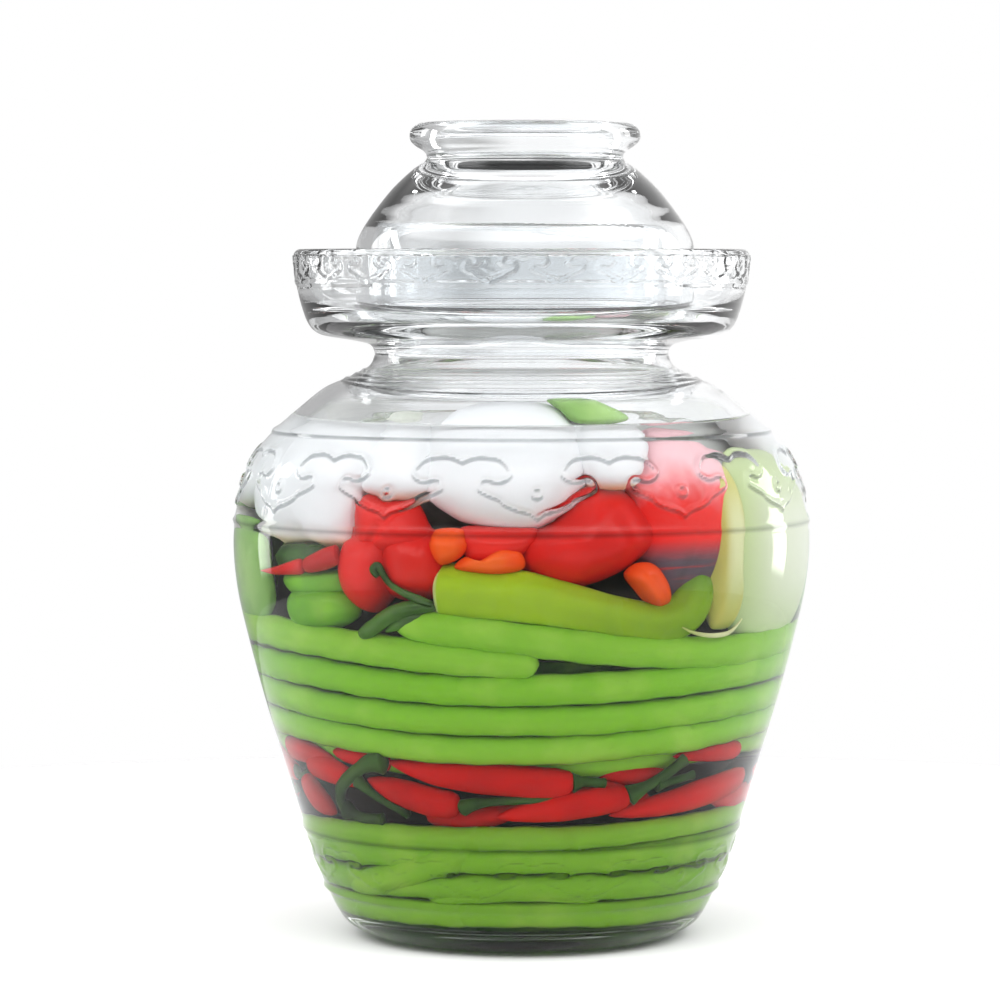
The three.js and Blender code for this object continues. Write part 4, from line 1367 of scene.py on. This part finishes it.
def piece_finishes(colours):
    """The finish of each kind of larger vegetable."""
    return {
        "radish": radish_finish("radish", colours.radish, colours.radish_skin),
        "pepper": skin_finish(
            "pepper_skin", colours.pepper, (0.6, 0.01, 0.007), (0.95, 0.06, 0.03), scale=30),
        "side_pepper": side_pepper_finish("side_pepper_skin", colours.pepper),
        "orange": skin_finish("orange_pepper_skin", colours.orange, (0.9, 0.07, 0.006), (1.0, 0.22, 0.03)),
        "lime": lime_finish("lime_pepper_skin", colours.lime, (0.2, 0.36, 0.012), (0.7, 0.76, 0.3)),
        "pale_front": pale_finish(
            "pale_front_slice", (0.76, 0.78, 0.44), (0.6, 0.55, 0.12), (0.5, 0.56, 0.16)),
        "pale_side": pale_finish("pale_side_slice", colours.pale, (0.56, 0.68, 0.34), (0.66, 0.76, 0.48)),
        "pale_back": pale_finish(
            "pale_back_slice", (0.88, 0.9, 0.85), (0.8, 0.84, 0.7), (0.78, 0.82, 0.66)),
        "leaf": skin_finish("green_piece", colours.leaf, (0.12, 0.34, 0.02), (0.45, 0.74, 0.1), gloss=0.25),
        "leaf_pale": skin_finish(
            "pale_green_piece", (0.42, 0.66, 0.2), (0.2, 0.42, 0.08), (0.6, 0.76, 0.4)),
        "leaf_dark": skin_finish(
            "dark_green_piece", (0.06, 0.17, 0.02), (0.02, 0.05, 0.01), (0.14, 0.34, 0.05)),
        "sprig": skin_finish("sprig_skin", (0.09, 0.22, 0.03), (0.03, 0.08, 0.012), (0.24, 0.42, 0.1)),
        "chilli": skin_finish("thin_chilli_skin", colours.chilli, (0.4, 0.01, 0.008), (0.8, 0.08, 0.04)),
    }


# Add-on


class JarOperator:
    """What all the panel's steps share"""

    bl_options = {"REGISTER", "UNDO"}

    @classmethod
    def poll(cls, context):
        return context.scene is not None


def assign(obj, chosen):
    """Gives each face the material whose number chosen, a function of radius and height, returns."""
    centres = np.empty(len(obj.data.polygons) * 3)
    obj.data.polygons.foreach_get("center", centres)
    x, y, z = centres.reshape(-1, 3).T / MM
    obj.data.polygons.foreach_set("material_index", chosen(np.hypot(x, y), z).astype(np.int32))
    obj.data.update()


class JAR_OT_glass(JarOperator, Operator):
    """Build the jar and the lid in clear glass. Where brine wets the inside, the glass bends light by the
    ratio of the two, so that it doesn't shine like glass against air."""

    bl_idname = "jar.glass"
    bl_label = "Glass jar and lid"

    def execute(self, context):
        sizes = context.scene.jar_sizes
        level = sizes.brine_level / MM
        colour = context.scene.jar_colours.glass
        glass = glass_finish("clear_glass", colour, GLASS_IOR, MOULD_WAVES, line=LINE_SHADE)
        wetted = glass_finish("wetted_glass", colour, GLASS_IOR / BRINE_IOR, 0.0)
        bare = glass_finish("bare_glass", colour, GLASS_IOR, MOULD_WAVES, line=LINE_SHADE, mirror=1.0)

        def part(radius, z):
            inside = (radius < outer_radius(np.maximum(z, 8)) - WALL / 2) & (z > FLOOR - 1) & (z < level)
            return inside + 2 * (z > BARE_HEIGHT)

        jar = jar_surface(sizes).object("glass_jar", glass, wetted, bare)
        assign(jar, part)
        settle(jar, "glass", "jar")
        settle(lid_surface().object("glass_lid", bare), "glass", "lid")
        return {"FINISHED"}


class JAR_OT_brine(JarOperator, Operator):
    """Fill the jar with clear brine round the vegetables. Its side lies just inside the glass, whose wetted
    face already bends the light, so only its top is a surface to be seen."""

    bl_idname = "jar.brine"
    bl_label = "Brine"

    def execute(self, context):
        colour = context.scene.jar_colours.brine
        liquid = glass_finish("brine", colour, BRINE_IOR, BRINE_WAVES)
        matched = glass_finish("brine_in_glass", (1, 1, 1), 1.0, 0.0)
        level = context.scene.jar_sizes.brine_level / MM
        brine = brine_surface(context.scene.jar_sizes).object("brine", liquid, matched)
        assign(brine, lambda radius, z: z < level - BRINE_EDGE)
        settle(brine, "brine")
        return {"FINISHED"}


class JAR_OT_beans(JarOperator, Operator):
    """Lay the two layers of green beans"""

    bl_idname = "jar.beans"
    bl_label = "Green beans"

    def execute(self, context):
        colours = context.scene.jar_colours
        fresh = bean_finish("bean_pod", colours.bean, colours.bean_dark, (0.42, 0.7, 0.09), 0.15)
        soaked = bean_finish(
            "soaked_bean_pod", colours.bean_old, colours.bean_dark, (0.36, 0.58, 0.07), 0.4)
        settle(upper_beans().object("upper_beans", fresh), "bean_green", "beans_upper")
        settle(lower_beans().object("lower_beans", soaked), "bean_green", "beans_lower")
        return {"FINISHED"}


class JAR_OT_chillies(JarOperator, Operator):
    """Lay the red chillies with their stalks"""

    bl_idname = "jar.chillies"
    bl_label = "Red chillies"

    def execute(self, context):
        colours = context.scene.jar_colours
        skin = skin_finish(
            "chilli_skin", colours.chilli, (0.5, 0.003, 0.002), (0.88, 0.016, 0.006), shine=0.05)
        stalk = skin_finish(
            "stalk_skin", colours.stalk, (0.012, 0.03, 0.008), (0.12, 0.2, 0.04), gloss=0.3, shine=0.05)
        red, green = chilli_layer()
        settle(red.object("red_chillies", skin), "chilli_red", "chillies")
        settle(green.object("chilli_stalks", stalk), "leaf_green")
        return {"FINISHED"}


class JAR_OT_pieces(JarOperator, Operator):
    """Lay the larger vegetables on top, the pieces round the back and the core behind them"""

    bl_idname = "jar.pieces"
    bl_label = "Larger vegetables"

    def execute(self, context):
        finishes = piece_finishes(context.scene.jar_colours)
        for name, finish, tint, *shapes in (*vegetables(), *back_vegetables()):
            surface = Surface()
            for grid, values in shapes:
                surface.add(grid, tint=tint, **values)
            settle(surface.object("piece_" + name, finishes[finish]), SLOTS[finish], name)
        deep = {}
        for finish, (grid, values) in deep_vegetables():
            deep.setdefault(finish, Surface()).add(grid, tint=0.5, **values)
        for finish, surface in deep.items():
            settle(surface.object("deep_" + finish, finishes[finish]), SLOTS[finish])
        core = inner_core().object("inner_vegetables_core", core_finish("inner_vegetables"))
        settle(core, "radish_white", "inner_vegetables")
        return {"FINISHED"}


class JAR_OT_stage(JarOperator, Operator):
    """Set the camera, the pale floor and the soft studio light"""

    bl_idname = "jar.stage"
    bl_label = "Stage"

    def execute(self, context):
        scene = context.scene
        distance = FOCAL_PIXELS * PIXEL
        camera = bpy.data.objects.new("camera", bpy.data.cameras.new("camera"))
        camera.data.sensor_width = SENSOR
        camera.data.lens = SENSOR * FOCAL_PIXELS / FRAME_PIXELS
        camera.data.clip_end = 50
        shift = (FRAME_PIXELS / 2 - AXIS_COLUMN) * PIXEL
        camera.location = Vector((shift, -distance, (FOOT_ROW - EYE_ROW) * PIXEL)) * MM
        camera.rotation_euler = (math.pi / 2 - math.atan((FRAME_PIXELS / 2 - EYE_ROW) / FOCAL_PIXELS), 0, 0)
        scene.collection.objects.link(camera)
        scene.camera = camera
        floor = Surface()
        radius = np.array([1, FLOOR_RADIUS, FLOOR_RADIUS, 1])[:, None]
        z = np.array([FLOOR_TOP, FLOOR_TOP, FLOOR_FOOT, FLOOR_FOOT])[:, None]
        floor.add(polar(bearings(64), radius, z))
        paper = Finish("pale_floor")
        paper.set(Roughness=0.9, Specular_IOR_Level=0.0)
        paper.feed("Base Color", (paper.noise(3, 2) * 0.4).mix(rgba(PAPER), rgba(PAPER_DARK)))
        floor.object("floor", paper.material)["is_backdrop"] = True
        self.light(scene)
        scene.view_settings.view_transform = "Standard"
        scene.cycles.max_bounces = 40
        scene.cycles.transmission_bounces = 36
        scene.cycles.glossy_bounces = 6
        scene.cycles.diffuse_bounces = 4
        scene.cycles.use_denoising = True
        return {"FINISHED"}

    def light(self, scene):
        """Studio round the jar: a dim front, bright soft sides, a back that is darker at its left, and tall
        soft boxes whose reflections run down the glass. What the camera sees directly is plain white."""
        world = bpy.data.worlds.new("studio")
        scene.world = world
        world.use_nodes = True
        tree = world.node_tree
        start = Flow(tree, None)
        way = start.node("ShaderNodeTexCoord")
        x, y, z = (start.node("ShaderNodeSeparateXYZ", output=k, Vector=way) for k in range(3))
        # Round the horizon: the front runs into the sides, and these into the back, whose halves differ
        low = y.band(-0.3, -0.75).blend(SIDE_LIGHT, FRONT_LIGHT)
        back = x.band(-0.08, 0.0).blend(BACK_LEFT, BACK_RIGHT)
        low = y.band(0.1, 0.4).blend(low, back)
        # Overhead: bright except at the back and right above
        high = y.band(0.55, 0.05).blend(BACK_RIGHT, HIGH_LIGHT)
        high = z.band(0.8, 0.94).blend(high, ZENITH_LIGHT)
        studio = z.band(0.38, 0.54).blend(low, high)
        for *box, strength in SOFT_BOXES:
            studio = studio + self.soft_box(start, way, *box) * strength
        straight = start.node("ShaderNodeLightPath")
        tree.links.new(straight.blend(studio, 1.0).socket, tree.nodes["Background"].inputs["Strength"])
        tree.nodes["Background"].inputs["Color"].default_value = (1, 1, 1, 1)

    def soft_box(self, start, way, azimuth, elevation, half_width, half_height):
        """1 inside a soft edged box of light, seen at an azimuth and elevation, 0 outside it."""
        a, e = math.radians(azimuth), math.radians(elevation)
        centre = (math.sin(a) * math.cos(e), -math.cos(a) * math.cos(e), math.sin(e))
        right = (math.cos(a), math.sin(a), 0)
        up = (-math.sin(a) * math.sin(e), math.cos(a) * math.sin(e), math.cos(e))
        ahead, across, upwards = (
            start.node("ShaderNodeVectorMath", {"operation": "DOT_PRODUCT"}, output=1, _0=way, _1=axis)
            for axis in (centre, right, up))
        near = math.tan(math.radians(half_width)), math.tan(math.radians(half_height))
        inside = (across / ahead).math("ABSOLUTE").band(near[0] * 1.15, near[0] * 0.85)
        inside = inside * (upwards / ahead).math("ABSOLUTE").band(near[1] * 1.1, near[1] * 0.9)
        return inside * ahead.band(0.0, 0.1)


class JAR_PT_panel(Panel):
    """Builds each piece of the jar"""

    bl_label = "Fermentation Jar"
    bl_space_type = "VIEW_3D"
    bl_region_type = "UI"
    bl_category = "Jar"

    def draw(self, context):
        for group in (context.scene.jar_sizes, context.scene.jar_colours):
            for key in group.__annotations__:
                self.layout.prop(group, key)
        for step in STEPS:
            self.layout.operator(step.bl_idname)


STEPS = (JAR_OT_stage, JAR_OT_glass, JAR_OT_brine, JAR_OT_beans, JAR_OT_chillies, JAR_OT_pieces)
CLASSES = (JarSizes, JarColours, *STEPS, JAR_PT_panel)


def register():
    for cls in CLASSES:
        bpy.utils.register_class(cls)
    bpy.types.Scene.jar_sizes = PointerProperty(type=JarSizes)
    bpy.types.Scene.jar_colours = PointerProperty(type=JarColours)


def unregister():
    del bpy.types.Scene.jar_colours
    del bpy.types.Scene.jar_sizes
    for cls in reversed(CLASSES):
        bpy.utils.unregister_class(cls)


def main():
    """Registers the add-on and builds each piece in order."""
    register()
    for step in STEPS:
        space, name = step.bl_idname.split(".")
        getattr(getattr(bpy.ops, space), name)()
    boxes = {"cad": CAD_BOX, "visual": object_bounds()}
    {key: [list(map(float, corner)) for corner in box] for key, box in boxes.items()}


if __name__ == "__main__":
    main()
